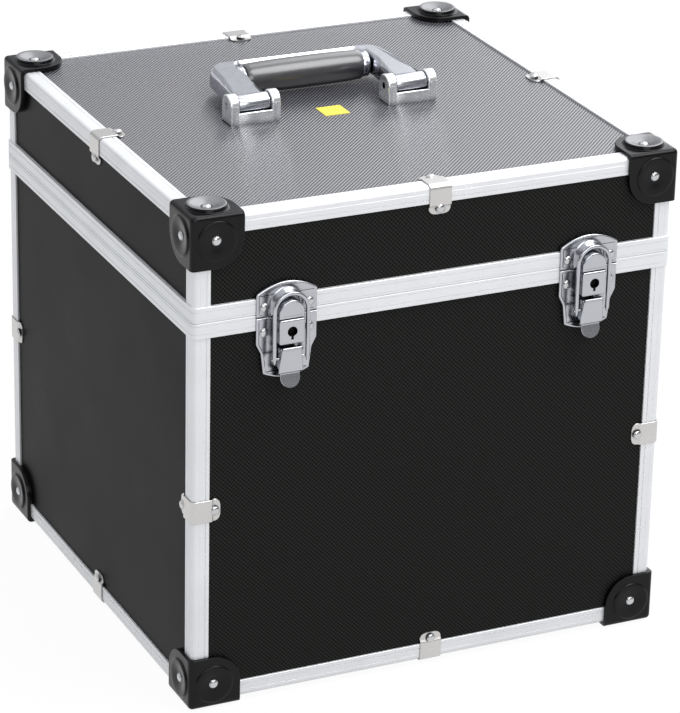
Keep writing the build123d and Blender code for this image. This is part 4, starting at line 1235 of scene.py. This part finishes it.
def build_floor():
    """A large white floor that shines a little where a camera, glossy or transmission ray meets it."""
    mesh = bpy.data.meshes.new("floor")
    s = 14.0
    mesh.from_pydata([(-s, -s, 0), (s, -s, 0), (s, s, 0), (-s, s, 0)], [], [(0, 1, 2, 3)])
    floor = bpy.data.objects.new("floor", mesh)
    bpy.context.scene.collection.objects.link(floor)
    m = bpy.data.materials.new("floor_white")
    m.use_nodes = True
    t = m.node_tree
    t.nodes.clear()
    out = t.nodes.new("ShaderNodeOutputMaterial")
    diffuse = t.nodes.new("ShaderNodeBsdfDiffuse")
    diffuse.inputs["Color"].default_value = FLOOR_COLOUR
    glow = t.nodes.new("ShaderNodeEmission")
    glow.inputs["Strength"].default_value = FLOOR_GLOW
    path = t.nodes.new("ShaderNodeLightPath")
    seen = path.outputs["Is Camera Ray"]
    for other in ("Is Glossy Ray", "Is Transmission Ray"):
        either = t.nodes.new("ShaderNodeMath")
        either.operation = "MAXIMUM"
        t.links.new(seen, either.inputs[0])
        t.links.new(path.outputs[other], either.inputs[1])
        seen = either.outputs[0]
    share = t.nodes.new("ShaderNodeMath")
    share.operation = "MULTIPLY"
    share.inputs[1].default_value = GLOW_SHARE
    t.links.new(seen, share.inputs[0])
    mix = t.nodes.new("ShaderNodeMixShader")
    t.links.new(share.outputs[0], mix.inputs[0])
    t.links.new(diffuse.outputs[0], mix.inputs[1])
    t.links.new(glow.outputs[0], mix.inputs[2])
    t.links.new(mix.outputs[0], out.inputs[0])
    mesh.materials.append(m)


def build_world():
    world = bpy.data.worlds.new("studio")
    bpy.context.scene.world = world
    world.use_nodes = True
    t = world.node_tree
    t.nodes.clear()
    out = t.nodes.new("ShaderNodeOutputWorld")
    bg_light = t.nodes.new("ShaderNodeBackground")
    bg_light.inputs["Color"].default_value = (0.97, 0.98, 1.0, 1)
    where = t.nodes.new("ShaderNodeTexCoord")
    split = t.nodes.new("ShaderNodeSeparateXYZ")
    t.links.new(where.outputs["Generated"], split.inputs[0])

    def step(value, low, high, a, b):
        n = t.nodes.new("ShaderNodeMapRange")
        n.interpolation_type = "SMOOTHSTEP"
        for name, number in (("From Min", low), ("From Max", high), ("To Min", a), ("To Max", b)):
            n.inputs[name].default_value = number
        t.links.new(value, n.inputs["Value"])
        return n.outputs[0]

    def combine(op, a, b):
        n = t.nodes.new("ShaderNodeMath")
        n.operation = op
        for i, v in enumerate((a, b)):
            if isinstance(v, (int, float)):
                n.inputs[i].default_value = v
            else:
                t.links.new(v, n.inputs[i])
        return n.outputs[0]

    # brighter overhead and behind, with one window-like patch behind to the right
    x, y, z = split.outputs
    across = combine("SUBTRACT", combine("MULTIPLY", x, 0.883), combine("MULTIPLY", y, 0.469))
    patch = combine("MULTIPLY", step(across, -0.06, 0.10, 0.0, 1.0), step(y, 0.0, 0.35, 0.0, 1.0))
    patch = combine("MULTIPLY", patch, step(z, 0.0, 0.12, 0.0, 1.75))
    level = combine("ADD", step(z, 0.2, 0.85, 0.22, 1.0), step(y, -0.5, 0.5, 0.0, 0.3))
    t.links.new(combine("ADD", level, patch), bg_light.inputs["Strength"])
    t.links.new(bg_light.outputs[0], out.inputs[0])


def area(name, at, look_at, size_x, size_y, power):
    data = bpy.data.lights.new(name, "AREA")
    data.shape = "RECTANGLE"
    data.size = size_x
    data.size_y = size_y
    data.energy = power
    obj = bpy.data.objects.new(name, data)
    bpy.context.scene.collection.objects.link(obj)
    direction = Vector(look_at) - Vector(at)
    obj.location = at
    obj.rotation_euler = direction.to_track_quat("-Z", "Y").to_euler()
    obj.visible_camera = False
    return obj


build_floor()
build_world()
area("softbox_top", (0.75, -0.8, 1.9), (0, 0, 0.25), 1.3, 1.3, 24)
area("softbox_front", (-0.3, -2.4, 1.3), (0, 0, 0.25), 1.5, 1.2, 17)
